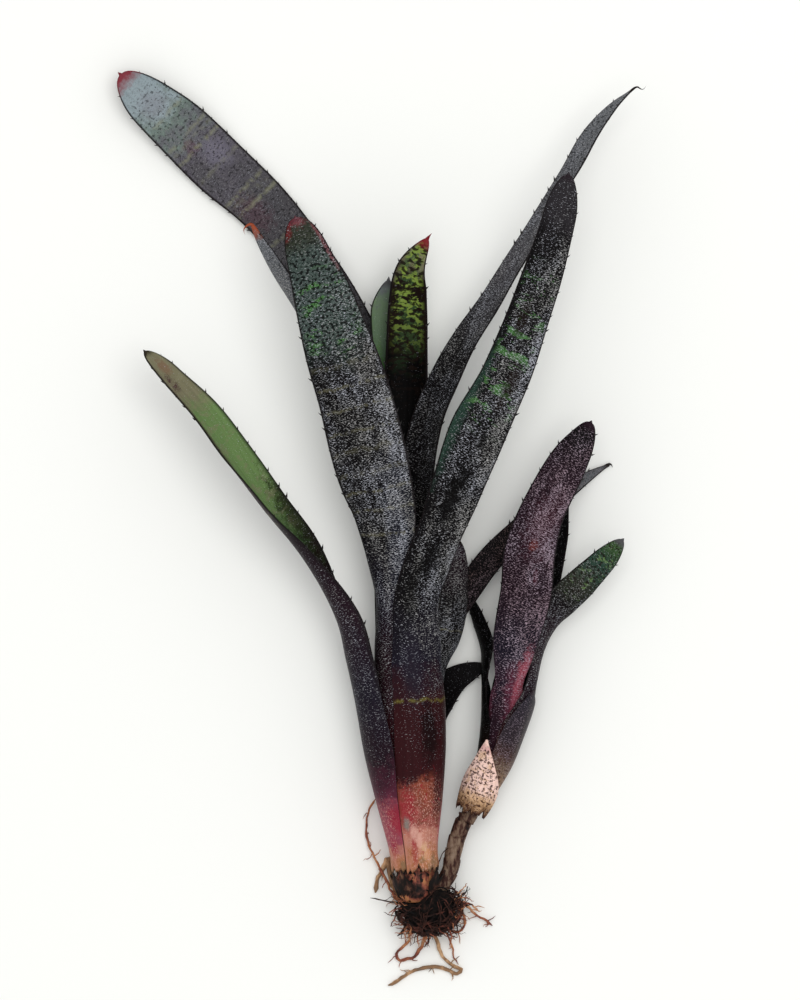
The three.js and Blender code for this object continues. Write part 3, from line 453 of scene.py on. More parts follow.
def thorn_form():
    """One thorn, one unit long, standing on +Z and bowed towards +Y: its corners and its faces."""
    bpy.ops.object.select_all(action="DESELECT")
    bpy.ops.mesh.primitive_cone_add(vertices=THORN_SIDES, radius1=THORN_RADIUS, radius2=0.0,
                                    depth=1, location=(0, 0, 0.5), end_fill_type="NOTHING")
    cone = bpy.context.object
    bpy.ops.object.mode_set(mode="EDIT")
    for height in THORN_CUTS:
        bpy.ops.mesh.select_all(action="SELECT")
        bpy.ops.mesh.bisect(plane_co=(0, 0, height), plane_no=(0, 0, 1))
    bpy.ops.object.mode_set(mode="OBJECT")
    mesh = cone.data
    corners = points_of(mesh) + np.array(cone.location)
    corners[:, 1] += THORN_BOW * corners[:, 2] ** 2
    faces = [tuple(face.vertices) for face in mesh.polygons]
    bpy.data.objects.remove(cone)
    bpy.data.meshes.remove(mesh)
    return corners, faces


def points_of(mesh):
    """Where a mesh's points are, one in each row."""
    corners = np.zeros(len(mesh.vertices) * 3)
    mesh.vertices.foreach_get("co", corners)
    return corners.reshape(-1, 3)


def copies_of(name, form, frames):
    """One mesh with a copy of `form` in each frame: (place, x, y and z directions with lengths)."""
    corners, faces = form
    points, polygons = [], []
    for place, x, y, z in frames:
        offset = len(points) * len(corners)
        points.append(place + corners[:, :1] * x + corners[:, 1:2] * y + corners[:, 2:] * z)
        polygons.extend(tuple(k + offset for k in face) for face in faces)
    mesh = bpy.data.meshes.new(name)
    mesh.from_pydata((np.concatenate(points) * MM).tolist(), [], polygons)
    mesh.update()
    piece = bpy.data.objects.new(name, mesh)
    bpy.context.scene.collection.objects.link(piece)
    return piece


def thorn_frames(form, gap, size, seed):
    """Where the thorns of a leaf stand: along both margins of its free blade, at uneven gaps."""
    rng = random.Random(seed)
    end = form.length - BARE_TIP * form.shape["tip_length"]
    frames = []
    for side in (-1, 1):
        s = form.free_from + gap * rng.random()
        while s < end:
            place, out, along, ray = form.margin(s, side)
            near_tip = 0.6 + 0.4 * min(1.0, (form.length - s) / SMALLER_WITHIN + 0.45)
            reach = size * rng.uniform(*THORN_SIZES) * near_tip
            out = unit(out + along * THORN_LEAN + ray * rng.uniform(-THORN_TILT, THORN_TILT))
            forward = unit(along - out * np.dot(along, out))
            sideways = np.cross(forward, out)
            frames.append((place - out * THORN_SINK - FOOTPRINT_CENTRE,
                           sideways * reach * THORN_FLATNESS, forward * reach, out * reach))
            s += gap * rng.uniform(*THORN_GAPS) * near_tip
    return frames


def join(pieces, name):
    """All of the pieces as one, under the name given."""
    select_only(pieces)
    bpy.ops.object.join()
    pieces[0].name = name
    pieces[0].data.name = name
    return pieces[0]


def give(piece, node):
    """The piece moves with the plant and stands for the node."""
    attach(piece, "root")
    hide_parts(node)


# ---- Finishes ----
INKS = {
    "cream": "#C9A27C", "peach": "#C58A66", "pink": "#B4616C", "rose": "#934653",
    "crimson": "#7A1424", "rust": "#8A4030", "amber": "#B87A3C", "wine": "#321417",
    "plum": "#22141C", "violet": "#1C1823", "slate": "#2B2D38", "soot": "#060505",
    "charcoal": "#0F0D0E", "umber": "#170E0A", "ash": "#4C4A4D", "stone": "#66686B",
    "mist": "#7C7C84", "steel": "#93A0A4", "sage": "#6E7C74", "teal": "#3F5E52",
    "moss": "#3A5230", "fern": "#6A8550", "lime": "#75893C", "citron": "#B4B04A",
    "olive": "#7A765C", "maroon": "#3F1D27", "mulberry": "#552636", "brown": "#3E241D",
    "orange": "#9A4A2E", "paper": "#F4D0C2", "husk": "#8C6A4C", "dusk": "#5A565E",
    "lilac": "#74707E", "pine": "#2A4036", "clover": "#436B3A", "tan": "#A76D49",
    "flesh": "#B87C6A", "salmon": "#96524A", "clay": "#7A4034", "bark": "#75604F",
    "taupe": "#8F7C6C", "straw": "#83836A", "lichen": "#44504B", "loden": "#34382E",
    "shell": "#CF9F90", "pitch": "#2B282B", "garnet": "#8C1C2C",
}

# The noises in a leaf's skin: how fine they are across and along it, per millimetre, with
# their detail, roughness and distortion. Real scale hairs are about 0.2 mm across, and their
# dashes and specks are drawn as coarse as they need to show, nearly 1 mm.
LEAF_NOISES = {
    "drift": ((0.07, 0.07), 2.0, 0.5, 0.0),
    "veins": ((0.8, 0.03), 3.0, 0.5, 0.0),
    "dashes": ((1.2, 3.5), 1.5, 0.6, 0.6),
    "clouds": ((0.22, 0.08), 3.0, 0.6, 0.0),
    "chill": ((0.1, 0.04), 2.0, 0.5, 0.0),
    "specks": ((0.75, 0.9), 1.0, 0.5, 0.0),
    "bow": ((0.25, 0.02), 3.0, 0.6, 0.0),
    "breaks": ((0.35, 0.2), 3.0, 0.6, 0.0),
    "fray": ((0.35, 0.35), 4.0, 0.65, 0.0),
}
BLOTCH_NOISE = (5.0, 0.7, 0.4)  # detail, roughness and distortion

# What a leaf's look has where it says nothing else.
PLAIN_LOOK = dict(
    veins=0.5, flushes=(), stains=(), blotches=(), scurf_and_sheen_across=[(0.0, 1.0), (1.0, 1.0)], frost=0.9,
    gap_depth=0.85, specks=[(0.0, 0.0), (1.0, 0.0)], speck_cut=0.62, speck_ink="charcoal", bands=(),
    wave=0.015, band_width=0.003, band_strength=0.6, band_ink="olive", rim=0.95, tip_reach=7.0,
    tip_strength=0.9, tip_ink="crimson", roughness=0.42, shine=0.03, fineness={},
)
SPECK_EDGE = 0.06  # how soft the edge of a speck on a dry part is
CUTICLE_IOR = 1.45
HORN_IOR = 1.5


def linear(colour):
    """A shader colour from an sRGB hex value."""
    values = [int(colour[k:k + 2], 16) / 255 for k in (1, 3, 5)]
    return [v / 12.92 if v <= 0.04045 else ((v + 0.055) / 1.055) ** 2.4 for v in values] + [1.0]


def add_node(tree, kind, links=(), stops=None, out=0, **settings):
    """Adds a shader node: its settings, what goes into its sockets, and a ramp's stops."""
    node = tree.nodes.new("ShaderNode" + kind)
    for name, value in settings.items():
        setattr(node, name, value)
    for socket, value in links.items() if isinstance(links, dict) else enumerate(links):
        if isinstance(value, bpy.types.NodeSocket):
            tree.links.new(value, node.inputs[socket])
        else:
            node.inputs[socket].default_value = value
    if stops:
        elements = node.color_ramp.elements
        while len(elements) < len(stops):
            elements.new(0.5)
        for element, (place, value) in zip(elements, stops):
            element.position = place
            level = [value] * 3 + [1.0]
            element.color = linear(INKS[value]) if isinstance(value, str) else level
    return node.outputs[out] if node.outputs else node


def new_material(name):
    """An empty node material and its tree."""
    material = bpy.data.materials.new(name)
    material.use_nodes = True
    material.node_tree.nodes.clear()
    return material, material.node_tree


class SkinPainter:
    """The nodes of one leaf's skin. Each layer is painted over the ones before it."""
    SIDES_APART = 40.0  # how far apart a leaf's two sides lie in the noises
    WANDER, STRAY = 0.1, 0.08  # how far, by either noise, the ground colours stray along the leaf
    OWN_PLACE = (17.3, 5.1)  # how far apart two leaves lie in the noises
    VEIN_TONES = [(0.3, 0.55), (0.7, 1.0)]
    MIDDLE = (0.6, 0.95, 1.0, 0.0)  # blotches fade out between these places across a leaf
    COVER = (0.38, 0.6, 0.6, 1.02)  # the hairs' share where they lie thinly and thickly
    BRIGHTNESS = (0.35, 0.65, 0.72, 1.05)
    BLADE_FADE = 0.1
    VEIN_RELIEF, HAIR_RELIEF = (0.35, 0.3 * MM), (0.4, 0.12 * MM)  # strength and height
    FLUSH_FRAY, FLUSH_SPECKLE = 1.6, 1.2  # how ragged the edge of a flush is
    FLUSH_EDGE = (2.5, 1.9)
    INK_EDGE = 0.05  # how soft the edge of a blotch or a speck is
    HAIRS_EDGE = 0.05
    NO_HAIRS = 0.7  # a level that the dashes never reach
    GAP_TONES = [(0.38, 1.0), (0.47, 0.0)]
    WARM_PATCHES = [(0.4, 0.0), (0.6, 1.0)]
    BREAKS = [(0.42, 0.0), (0.55, 1.0)]
    RIM_END, RIM_STRENGTH = 0.985, 0.9
    TIP_FRAY, TIP_EDGE = 1.4, (1.1, 1.9)
    HAIR_ROUGHNESS = 0.8

    def __init__(self, name, look, seed):
        self.material, self.tree = new_material(name)
        self.look = {**PLAIN_LOOK, **look}
        self.place = self.add("UVMap", uv_map="place")
        self.share, self.along = (self.add("SeparateXYZ", [self.place], out=k) for k in (0, 1))
        facing = self.add("UVMap", uv_map="facing")
        self.front, self.from_tip = (self.add("SeparateXYZ", [facing], out=k) for k in (0, 1))
        self.outward = self.add("Math", [self.share], operation="ABSOLUTE")
        grain = self.add("UVMap", uv_map="grain")
        across, along = self.OWN_PLACE
        own = self.add("VectorMath", [grain, (seed * across, seed * along, 0)], operation="ADD")
        side = self.add("Math", [self.front, self.SIDES_APART], operation="MULTIPLY")
        apart = self.add("CombineXYZ", {2: side})
        self.here = self.add("VectorMath", [own, apart], operation="ADD")
        self.noise = {key: self.mottle(self.look["fineness"].get(key, fineness), *character)
                      for key, (fineness, *character) in LEAF_NOISES.items()}

    def add(self, kind, links=(), stops=None, out=0, **settings):
        return add_node(self.tree, kind, links, stops, out, **settings)

    def mottle(self, fineness, detail, roughness, distortion):
        """A noise that follows the skin, so fine across and along the leaf per millimetre."""
        scaled = self.add("Mapping", {0: self.here, "Scale": (*fineness, 1.0)})
        return self.add("TexNoise", {"Vector": scaled, "Scale": 1.0, "Detail": detail,
                                     "Roughness": roughness, "Distortion": distortion})

    def overlap(self, masks):
        """Where all of the masks show at once."""
        shown = masks[0]
        for mask in masks[1:]:
            shown = self.add("Math", [shown, mask], operation="MULTIPLY")
        return shown

    def paint(self, masks, ink, blend="MIX"):
        """Lays an ink, or a colour that nodes work out, over the skin where the masks show."""
        if isinstance(ink, str):
            ink = linear(INKS.get(ink, ink))
        self.colour = self.add("Mix", {0: self.overlap(masks), 6: self.colour, 7: ink}, out=2,
                               data_type="RGBA", blend_type=blend)

    def ground(self):
        """The ground colour of each side drifts from stop to stop along the leaf, over veins."""
        wander = self.add("Math", [self.noise["drift"], self.WANDER, self.along],
                          operation="MULTIPLY_ADD")
        stray = self.add("Math", [self.noise["fray"], self.STRAY, wander], operation="MULTIPLY_ADD")
        self.drifted = self.add("Math", [stray, (self.WANDER + self.STRAY) / 2],
                                operation="SUBTRACT")
        back, front = (self.add("ValToRGB", [self.drifted], self.look[side])
                       for side in ("back", "front"))
        self.colour = self.add("Mix", {0: self.front, 6: back, 7: front}, out=2, data_type="RGBA")
        vein_tone = self.add("ValToRGB", [self.noise["veins"]], self.VEIN_TONES)
        self.paint([self.look["veins"]], vein_tone, "MULTIPLY")

    def flush(self, kind):
        """Soft-edged patches of another colour, each round a place on the leaf."""
        for across, length, wide, long, ink, strength in self.look[kind]:
            off = self.add("VectorMath", [self.place, (-across, -length, 0)], operation="ADD")
            rounded = self.add("VectorMath", [off, (1 / wide, 1 / long, 0)], operation="MULTIPLY")
            distance = self.add("VectorMath", [rounded], out=1, operation="LENGTH")
            ragged = self.add("Math", [self.noise["fray"], self.FLUSH_FRAY, distance],
                              operation="MULTIPLY_ADD")
            speckled = self.add("Math", [self.noise["dashes"], self.FLUSH_SPECKLE, ragged],
                                operation="MULTIPLY_ADD")
            inside = self.add("MapRange", [speckled, *self.FLUSH_EDGE, 0.0, strength])
            self.paint([inside], ink)

    def blotch(self):
        """Fresh green that shows through in the middle of a blade, or a pale base's freckles."""
        middle = self.add("MapRange", [self.outward, *self.MIDDLE])
        for stretch, ink, fineness, cut in self.look["blotches"]:
            patches = self.mottle(fineness, *BLOTCH_NOISE)
            shown = self.add("ValToRGB", [patches], [(cut, 0.0), (cut + self.INK_EDGE, 1.0)])
            window = self.add("ValToRGB", [self.along], stretch)
            self.paint([shown, window, middle], ink)

    def dust(self, settings):
        """Scale hairs: broken dashes across the leaf, about a millimetre long, with dark gaps."""
        look, noise = self.look, self.noise
        cover = self.add("MapRange", [noise["clouds"], *self.COVER])
        scurf = self.add("ValToRGB", [self.drifted], look["scurf"])
        sideways = self.add("MapRange", [self.share, -1.0, 1.0, 0.0, 1.0])
        # How thick the hairs lie across a leaf is partly real scurf and partly painted sheen: the
        # right side, where the light falls, is made brighter.
        scurf_and_sheen_cover = self.add("ValToRGB", [sideways], look["scurf_and_sheen_across"])
        amount = self.overlap([cover, scurf, scurf_and_sheen_cover])
        bar = self.add("MapRange", [amount, 0.0, 1.0, self.NO_HAIRS, settings.scurf_cut])
        above = self.add("Math", [noise["dashes"], bar], operation="SUBTRACT")
        silver = self.add("MapRange", [above, 0.0, self.HAIRS_EDGE, 0.0, 1.0])
        gaps = self.add("ValToRGB", [noise["dashes"]], self.GAP_TONES)
        tint = self.add("ValToRGB", [noise["chill"]], self.WARM_PATCHES)
        cool, warm = look.get("silver", settings.silver), look.get("warm", settings.warm_silver)
        frost_colour = self.add("Mix", {0: tint, 6: linear(cool), 7: linear(warm)}, out=2,
                                data_type="RGBA")
        brightness = self.add("MapRange", [noise["fray"], *self.BRIGHTNESS])
        self.frost = self.overlap([silver, brightness, look["frost"]])
        self.paint([gaps, scurf, look["gap_depth"]], settings.dark)
        self.paint([self.frost], frost_colour)

    def speckle(self):
        """Specks where scale hairs have rubbed off, about a millimetre across."""
        cut = self.look["speck_cut"]
        spotted = self.add("ValToRGB", [self.along], self.look["specks"])
        speck = self.add("ValToRGB", [self.noise["specks"]],
                         [(cut, 0.0), (cut + self.INK_EDGE, 1.0)])
        self.paint([speck, spotted], self.look["speck_ink"])

    def bar(self):
        """Pale bars that cross the whole leaf, wavy and broken."""
        look = self.look
        if not look["bands"]:
            return
        waved = self.add("Math", [self.noise["bow"], look["wave"], self.along],
                         operation="MULTIPLY_ADD")
        marks = [(0.0, 0.0)]
        for band in look["bands"]:
            middle = band + look["wave"] / 2
            marks += [(middle - look["band_width"], 0.0), (middle, 1.0),
                      (middle + look["band_width"], 0.0)]
        bars = self.add("ValToRGB", [waved], marks)
        kept = self.add("ValToRGB", [self.noise["breaks"]], self.BREAKS)
        self.paint([bars, kept, look["band_strength"]], look["band_ink"])

    def edge(self, free_from, margin_ink):
        """The margin of the free blade is a thin dark horny line, and the tip is flushed."""
        look = self.look
        line = self.add("MapRange", [self.outward, look["rim"], self.RIM_END, 0.0,
                                     self.RIM_STRENGTH])
        blade_only = self.add("MapRange", [self.along, free_from - self.BLADE_FADE, free_from,
                                           0.0, 1.0])
        self.paint([line, blade_only], margin_ink)
        reach = look["tip_reach"]
        frayed = self.add("Math", [self.noise["fray"], reach * self.TIP_FRAY, self.from_tip],
                          operation="MULTIPLY_ADD")
        start, end = self.TIP_EDGE
        tip = self.add("MapRange", [frayed, reach * start, reach * end, look["tip_strength"], 0.0])
        self.paint([tip], look["tip_ink"])

    def finish(self):
        """The cuticle's satin gloss, dull under the hairs, and the relief of veins and hairs."""
        rough = self.add("MapRange", [self.frost, 0.0, 1.0, self.look["roughness"],
                                      self.HAIR_ROUGHNESS])
        strength, height = self.VEIN_RELIEF
        veined = self.add("Bump", {"Strength": strength, "Distance": height,
                                   "Height": self.noise["veins"]})
        strength, height = self.HAIR_RELIEF
        haired = self.add("Bump", {"Strength": strength, "Distance": height,
                                   "Height": self.noise["dashes"], "Normal": veined})
        shader = self.add("BsdfPrincipled", {
            "Base Color": self.colour, "Roughness": rough, "Normal": haired, "IOR": CUTICLE_IOR,
            "Specular IOR Level": self.look["shine"]})
        self.add("OutputMaterial", [shader])
        return self.material


def leaf_finish(name, look, free_from, settings, seed):
    """Living leaf skin: a dark satin cuticle that changes colour from base to tip, dusted with
    silvery scale hairs, so that it reads as black leather under frost."""
    skin = SkinPainter(name, look, seed)
    skin.ground()
    skin.flush("flushes")
    skin.blotch()
    skin.dust(settings)
    skin.flush("stains")
    skin.speckle()
    skin.bar()
    skin.edge(free_from, settings.margin_ink)
    return skin.finish()


def dry_finish(look):
    """A dry plant skin whose colour and relief follow one noise, from the row for its look."""
    stops, scale, stretch, roughness, relief, *speck = DRY_LOOKS[look]
    material, tree = new_material(look)
    place = add_node(tree, "TexCoord", out="Object")
    drawn_out = add_node(tree, "Mapping", {0: place, "Scale": stretch})
    noise = add_node(tree, "TexNoise", {"Vector": drawn_out, "Scale": scale, "Detail": 5.0,
                                        "Roughness": 0.65})
    colour = add_node(tree, "ValToRGB", [noise], stops)
    if speck:
        ink, cut, fine = speck[0]
        spots = add_node(tree, "TexNoise", {"Vector": place, "Scale": fine, "Detail": 2.0})
        mask = add_node(tree, "ValToRGB", [spots], [(cut, 0.0), (cut + SPECK_EDGE, 1.0)])
        colour = add_node(tree, "Mix", {0: mask, 6: colour, 7: linear(INKS[ink])}, out=2,
                          data_type="RGBA")
    bump = add_node(tree, "Bump", {"Strength": 0.7, "Distance": relief * MM, "Height": noise})
    shader = add_node(tree, "BsdfPrincipled", {
        "Base Color": colour, "IOR": CUTICLE_IOR, "Roughness": roughness, "Normal": bump,
        "Specular IOR Level": 0.2})
    add_node(tree, "OutputMaterial", [shader])
    return material


def cover(pieces, look):
    """Gives one dry finish to all of the pieces."""
    finish = dry_finish(look)
    for piece in pieces:
        piece.data.materials.append(finish)


def horn_finish():
    """Horn: hard, dark and slightly glossy, nearly black, and brown where it catches the light."""
    material, tree = new_material("horn_thorn")
    place = add_node(tree, "TexCoord", out="Object")
    # Brown patches at random in the horn's colour: its own tone, and painted highlight where it
    # catches the light.
    tone_and_glint = add_node(tree, "TexNoise", {"Vector": place, "Scale": 900.0, "Detail": 2.0})
    tone = add_node(tree, "ValToRGB", [tone_and_glint], [(0.35, "soot"), (0.7, "umber")])
    shader = add_node(tree, "BsdfPrincipled", {
        "Base Color": tone, "Roughness": 0.45, "IOR": HORN_IOR, "Specular IOR Level": 0.3})
    add_node(tree, "OutputMaterial", [shader])
    return material


# Along each leaf, from its base at 0 to its tip at 1: the colour of its back and of its front,
# how thick its scale hairs lie, and where specks, blotches (stretch, ink, fineness, cut) and pale
# bars show. A flush has its place across from -1 to 1, its place along, how wide and how long it
# is, its ink and its strength. A stain is a flush that lies over the hairs.
DARK_BACK = [(0.0, "rust"), (0.08, "wine"), (0.25, "plum"), (0.42, "charcoal"), (0.8, "charcoal"),
             (0.96, "plum")]
SHADED_BACK = [(0.0, "rust"), (0.08, "wine"), (0.2, "umber"), (0.35, "soot"), (0.9, "soot")]
DARK_FACE = [(0.0, "umber"), (0.3, "soot"), (0.6, "charcoal"), (0.95, "charcoal")]
SHADED_LOOK = dict(back=SHADED_BACK, front=DARK_FACE, scurf=[(0.0, 0.0), (0.4, 0.3)],
                   tip_ink="umber", tip_reach=2.0, frost=0.35)
DARK_SCURF = [(0.0, 0.0), (0.22, 0.15), (0.4, 0.8), (0.95, 0.8)]
PALE_FRECKLES = ([(0.0, 0.6), (0.1, 0.7), (0.135, 0.0)], "shell", (1.7, 1.0), 0.54)
RED_FRECKLES = ([(0.01, 0.0), (0.03, 0.7), (0.12, 0.8), (0.15, 0.0)], "garnet", (0.5, 0.3), 0.59)
LEAF_LOOKS = {
    "leaf_left_paddle": dict(
        back=DARK_BACK,
        front=[(0.0, "plum"), (0.5, "charcoal"), (0.66, "ash"), (0.78, "ash"), (0.87, "dusk"),
               (0.9, "stone"), (0.925, "sage"), (0.955, "steel")],
        scurf=[(0.0, 0.3), (0.5, 0.6), (0.86, 0.6), (0.93, 0.4)], silver="#8B8D95",
        warm="#85827E", frost=0.6, gap_depth=0.6, veins=0.5,
        flushes=[(0.3, 0.86, 0.5, 0.02, "lilac", 0.6), (-0.2, 0.885, 0.3, 0.012, "mulberry", 0.35),
                 (-0.4, 0.78, 0.6, 0.03, "mulberry", 0.3), (-0.6, 0.85, 0.4, 0.03, "ash", 0.7),
                 (0.5, 0.8, 0.5, 0.03, "ash", 0.5), (0.0, 0.95, 0.7, 0.02, "mist", 0.5)],
        specks=[(0.0, 0.0), (0.6, 0.6), (0.96, 0.6), (0.985, 0.0)], speck_cut=0.58,
        bands=[0.74, 0.79, 0.8, 0.81, 0.85, 0.88, 0.89, 0.9, 0.93], band_ink="straw",
        band_strength=0.6, band_width=0.0025, wave=0.006, rim=0.94, tip_reach=5.5),
    "leaf_front_left": dict(
        back=[(0.0, "peach"), (0.06, "rust"), (0.14, "wine"), (0.34, "plum"), (0.4, "violet"),
              (0.5, "charcoal"), (0.76, "charcoal"), (0.83, "lichen"), (0.93, "lichen"),
              (0.97, "loden")],
        front=DARK_FACE,
        scurf=[(0.0, 0.0), (0.3, 0.6), (0.4, 0.85), (0.75, 0.85), (0.85, 0.7), (0.96, 0.4)],
        # Thicker hairs on the right side: partly real scurf, partly painted sheen.
        scurf_and_sheen_across=[(0.0, 1.2), (0.4, 0.95), (0.8, 0.75), (1.0, 0.8)],
        flushes=[(-0.5, 0.5, 0.5, 0.14, "slate", 0.5), (-0.92, 0.95, 0.14, 0.05, "rose", 0.4),
                 (0.85, 0.985, 0.3, 0.02, "crimson", 0.5), (0.0, 1.0, 0.9, 0.016, "rose", 0.6)],
        blotches=[([(0.77, 0.0), (0.8, 1.0), (0.9, 1.0), (0.93, 0.0)], "clover",
                   (0.07, 0.18), 0.54)],
        specks=[(0.72, 0.0), (0.78, 0.9), (0.94, 0.9), (0.98, 0.3)], speck_cut=0.53,
        speck_ink="soot",
        bands=[0.5, 0.54, 0.57, 0.6, 0.635, 0.665, 0.7, 0.735, 0.768], band_strength=0.4,
        tip_ink="maroon", tip_reach=2.0, tip_strength=0.5),
    "leaf_left_folded": dict(
        back=[(0.0, "rust"), (0.08, "wine"), (0.25, "plum"), (0.42, "charcoal"), (0.6, "ash"),
              (0.85, "stone")],
        front=DARK_FACE, scurf=DARK_SCURF, frost=0.75, gap_depth=0.6, tip_ink="orange",
        tip_reach=6.0, specks=[(0.0, 0.0), (0.6, 0.6), (1.0, 0.6)], speck_cut=0.6),
    "leaf_front_right": dict(
        back=[(0.0, "husk"), (0.008, "tan"), (0.03, "flesh"), (0.055, "flesh"), (0.08, "salmon"),
              (0.095, "clay"), (0.108, "clay"), (0.13, "wine"), (0.235, "wine"), (0.29, "violet"),
              (0.4, "charcoal"), (0.9, "charcoal"), (0.95, "pitch")],
        front=[(0.0, "umber"), (0.4, "soot"), (0.55, "teal"), (0.8, "charcoal")],
        scurf=[(0.0, 0.0), (0.1, 0.02), (0.15, 0.1), (0.24, 0.4), (0.32, 0.65), (0.4, 0.8),
               (0.86, 0.8), (0.93, 0.4)],
        # Thicker hairs on the right side: partly real scurf, partly painted sheen. The bare left
        # margin is the leaf's own.
        scurf_and_sheen_across=[(0.0, 1.15), (0.3, 1.0), (0.5, 0.8), (0.8, 0.85), (0.92, 0.35), (1.0, 0.3)],
        flushes=[(1.0, 0.64, 0.42, 0.11, "pine", 0.9), (0.0, 0.19, 0.3, 0.05, "soot", 0.7),
                 (0.75, 0.085, 0.3, 0.035, "garnet", 0.65), (0.6, 0.03, 0.15, 0.03, "garnet", 0.6),
                 (-0.1, 0.11, 0.5, 0.03, "orange", 0.3), (-0.75, 0.06, 0.3, 0.04, "pink", 0.5),
                 (-0.38, 0.12, 0.42, 0.055, "wine", 0.95),
                 (0.36, 0.116, 0.22, 0.016, "orange", 0.15),
                 # Painted highlight: the sage, shell, cream and peach flushes that run in a
                 # diagonal line near the base.
                 (0.82, 0.066, 0.13, 0.01, "sage", 0.7), (0.6, 0.054, 0.13, 0.013, "shell", 0.7),
                 (0.4, 0.042, 0.14, 0.013, "shell", 0.7), (0.2, 0.03, 0.16, 0.013, "cream", 0.7),
                 (0.05, 0.02, 0.18, 0.012, "peach", 0.7)],
        # Painted sheen: the violet stain across the sheath at 0.285 stands for the tube's
        # blue-violet gloss.
        stains=[(0.3, 0.285, 0.4, 0.06, "violet", 0.7), (-0.25, 0.615, 0.2, 0.018, "soot", 0.75),
                (-0.1, 0.56, 0.3, 0.03, "soot", 0.8), (0.05, 0.52, 0.5, 0.05, "soot", 0.95),
                (0.0, 0.437, 0.45, 0.04, "soot", 0.8), (0.4, 0.395, 0.35, 0.05, "soot", 0.75),
                (-0.3, 0.7, 0.3, 0.04, "umber", 0.7), (0.2, 0.79, 0.3, 0.03, "umber", 0.7)],
        blotches=[([(0.62, 0.0), (0.66, 1.0), (0.84, 1.0), (0.88, 0.0)], "clover",
                   (0.09, 0.2), 0.53),
                  PALE_FRECKLES, RED_FRECKLES],
        bands=[0.236], band_ink="citron", band_strength=0.5, wave=0.018, band_width=0.0018,
        tip_ink="plum", tip_reach=3.0, tip_strength=0.5, shine=0.04),
    "leaf_left_low": dict(
        back=[(0.0, "husk"), (0.01, "tan"), (0.03, "flesh"), (0.055, "rose"), (0.09, "rose"),
              (0.13, "mulberry"), (0.2, "plum"), (0.3, "violet"), (0.45, "plum"),
              (0.9, "charcoal")],
        front=[(0.0, "umber"), (0.54, "umber"), (0.6, "moss"), (0.68, "fern"), (0.85, "fern"),
               (0.9, "olive"), (0.96, "olive")],
        scurf=[(0.0, 0.0), (0.12, 0.1), (0.2, 0.3), (0.3, 0.5), (0.45, 0.5), (0.6, 0.25),
               (0.9, 0.2)],
        gap_depth=0.5, frost=0.7,
        flushes=[(-0.9, 0.09, 0.3, 0.03, "garnet", 0.65), (-0.6, 0.04, 0.2, 0.02, "garnet", 0.5),
                 (0.9, 0.62, 0.6, 0.1, "umber", 0.8), (-0.3, 0.93, 0.4, 0.02, "maroon", 0.8),
                 (0.2, 0.96, 0.5, 0.02, "clay", 0.35), (-0.9, 0.8, 0.2, 0.15, "maroon", 0.7)],
        blotches=[([(0.6, 0.0), (0.66, 0.5), (0.9, 0.5), (0.97, 0.8)], "olive", (0.12, 0.2), 0.54),
                  PALE_FRECKLES, RED_FRECKLES],
        tip_ink="umber", tip_reach=2.5, rim=0.84, shine=0.05),
    "leaf_right_long": dict(
        back=DARK_BACK, front=[(0.0, "soot"), (0.45, "charcoal"), (0.62, "charcoal"),
                               (0.75, "ash"), (0.95, "stone")],
        scurf=[(0.0, 0.3), (0.4, 0.45), (0.7, 0.85), (0.95, 0.7)], frost=0.55,
        tip_ink="umber", tip_reach=3.0,
        specks=[(0.0, 0.0), (0.75, 0.0), (0.85, 0.7), (1.0, 0.7)], speck_cut=0.58),
    # The face is sooty and bare of scale hairs up to about 0.78 along: partly its own dark colour,
    # and partly painted shade deep in the tube.
    "leaf_centre_spotted": dict(
        back=DARK_BACK, front=[(0.0, "soot"), (0.78, "soot"), (0.84, "umber"), (0.92, "umber"),
                               (0.97, "olive")],
        scurf=[(0.0, 0.0), (0.75, 0.0), (0.8, 0.1)], frost=0.4,
        blotches=[([(0.76, 0.0), (0.84, 0.5), (0.97, 0.8)], "moss", (0.1, 0.1), 0.49),
                  ([(0.8, 0.0), (0.87, 0.9), (0.92, 1.0), (0.985, 1.0), (0.995, 0.0)], "lime",
                   (0.2, 0.3), 0.49)],
        tip_reach=4.5, tip_ink="crimson", specks=[(0.7, 0.0), (0.8, 0.9), (0.97, 0.9)],
        speck_cut=0.52, speck_ink="umber", fineness={"specks": (0.4, 0.6)}),
    "leaf_back_green": dict(
        back=DARK_BACK, front=[(0.0, "soot"), (0.5, "moss"), (0.72, "moss"), (0.85, "clover"),
                               (0.96, "fern"), (0.99, "stone")],
        scurf=[(0.0, 0.2), (0.7, 0.1)], flushes=[(0.0, 0.93, 1.6, 0.09, "sage", 0.5)],
        tip_ink="ash", tip_reach=3.0),
    "leaf_right_short": dict(
        back=DARK_BACK, front=DARK_FACE, scurf=DARK_SCURF, bands=[0.72], tip_ink="umber",
        tip_reach=2.0, frost=0.55),
    "leaf_right_arching": dict(
        back=DARK_BACK,
        front=[(0.0, "umber"), (0.3, "soot"), (0.6, "charcoal"), (0.84, "charcoal"),
               (0.93, "stone")],
        scurf=DARK_SCURF, tip_ink="umber", tip_reach=2.0,
        silver="#8E7C82", warm="#806A68", frost=0.5),
    # Its scale hairs are kept sparse as painted shade, where the leaf lies low in the shadow of the
    # rosette.
    "leaf_right_low": dict(
        back=DARK_BACK, front=DARK_FACE, scurf=[(0.0, 0.0), (0.5, 0.15), (0.9, 0.2)],
        tip_ink="umber", tip_reach=2.0, frost=0.5),
    "pup_leaf_front": dict(
        back=[(0.0, "plum"), (0.14, "maroon"), (0.2, "mulberry"), (0.28, "mulberry"),
              (0.36, "violet"),
              (0.5, "plum"), (0.85, "plum"), (0.97, "charcoal")],
        front=DARK_FACE,
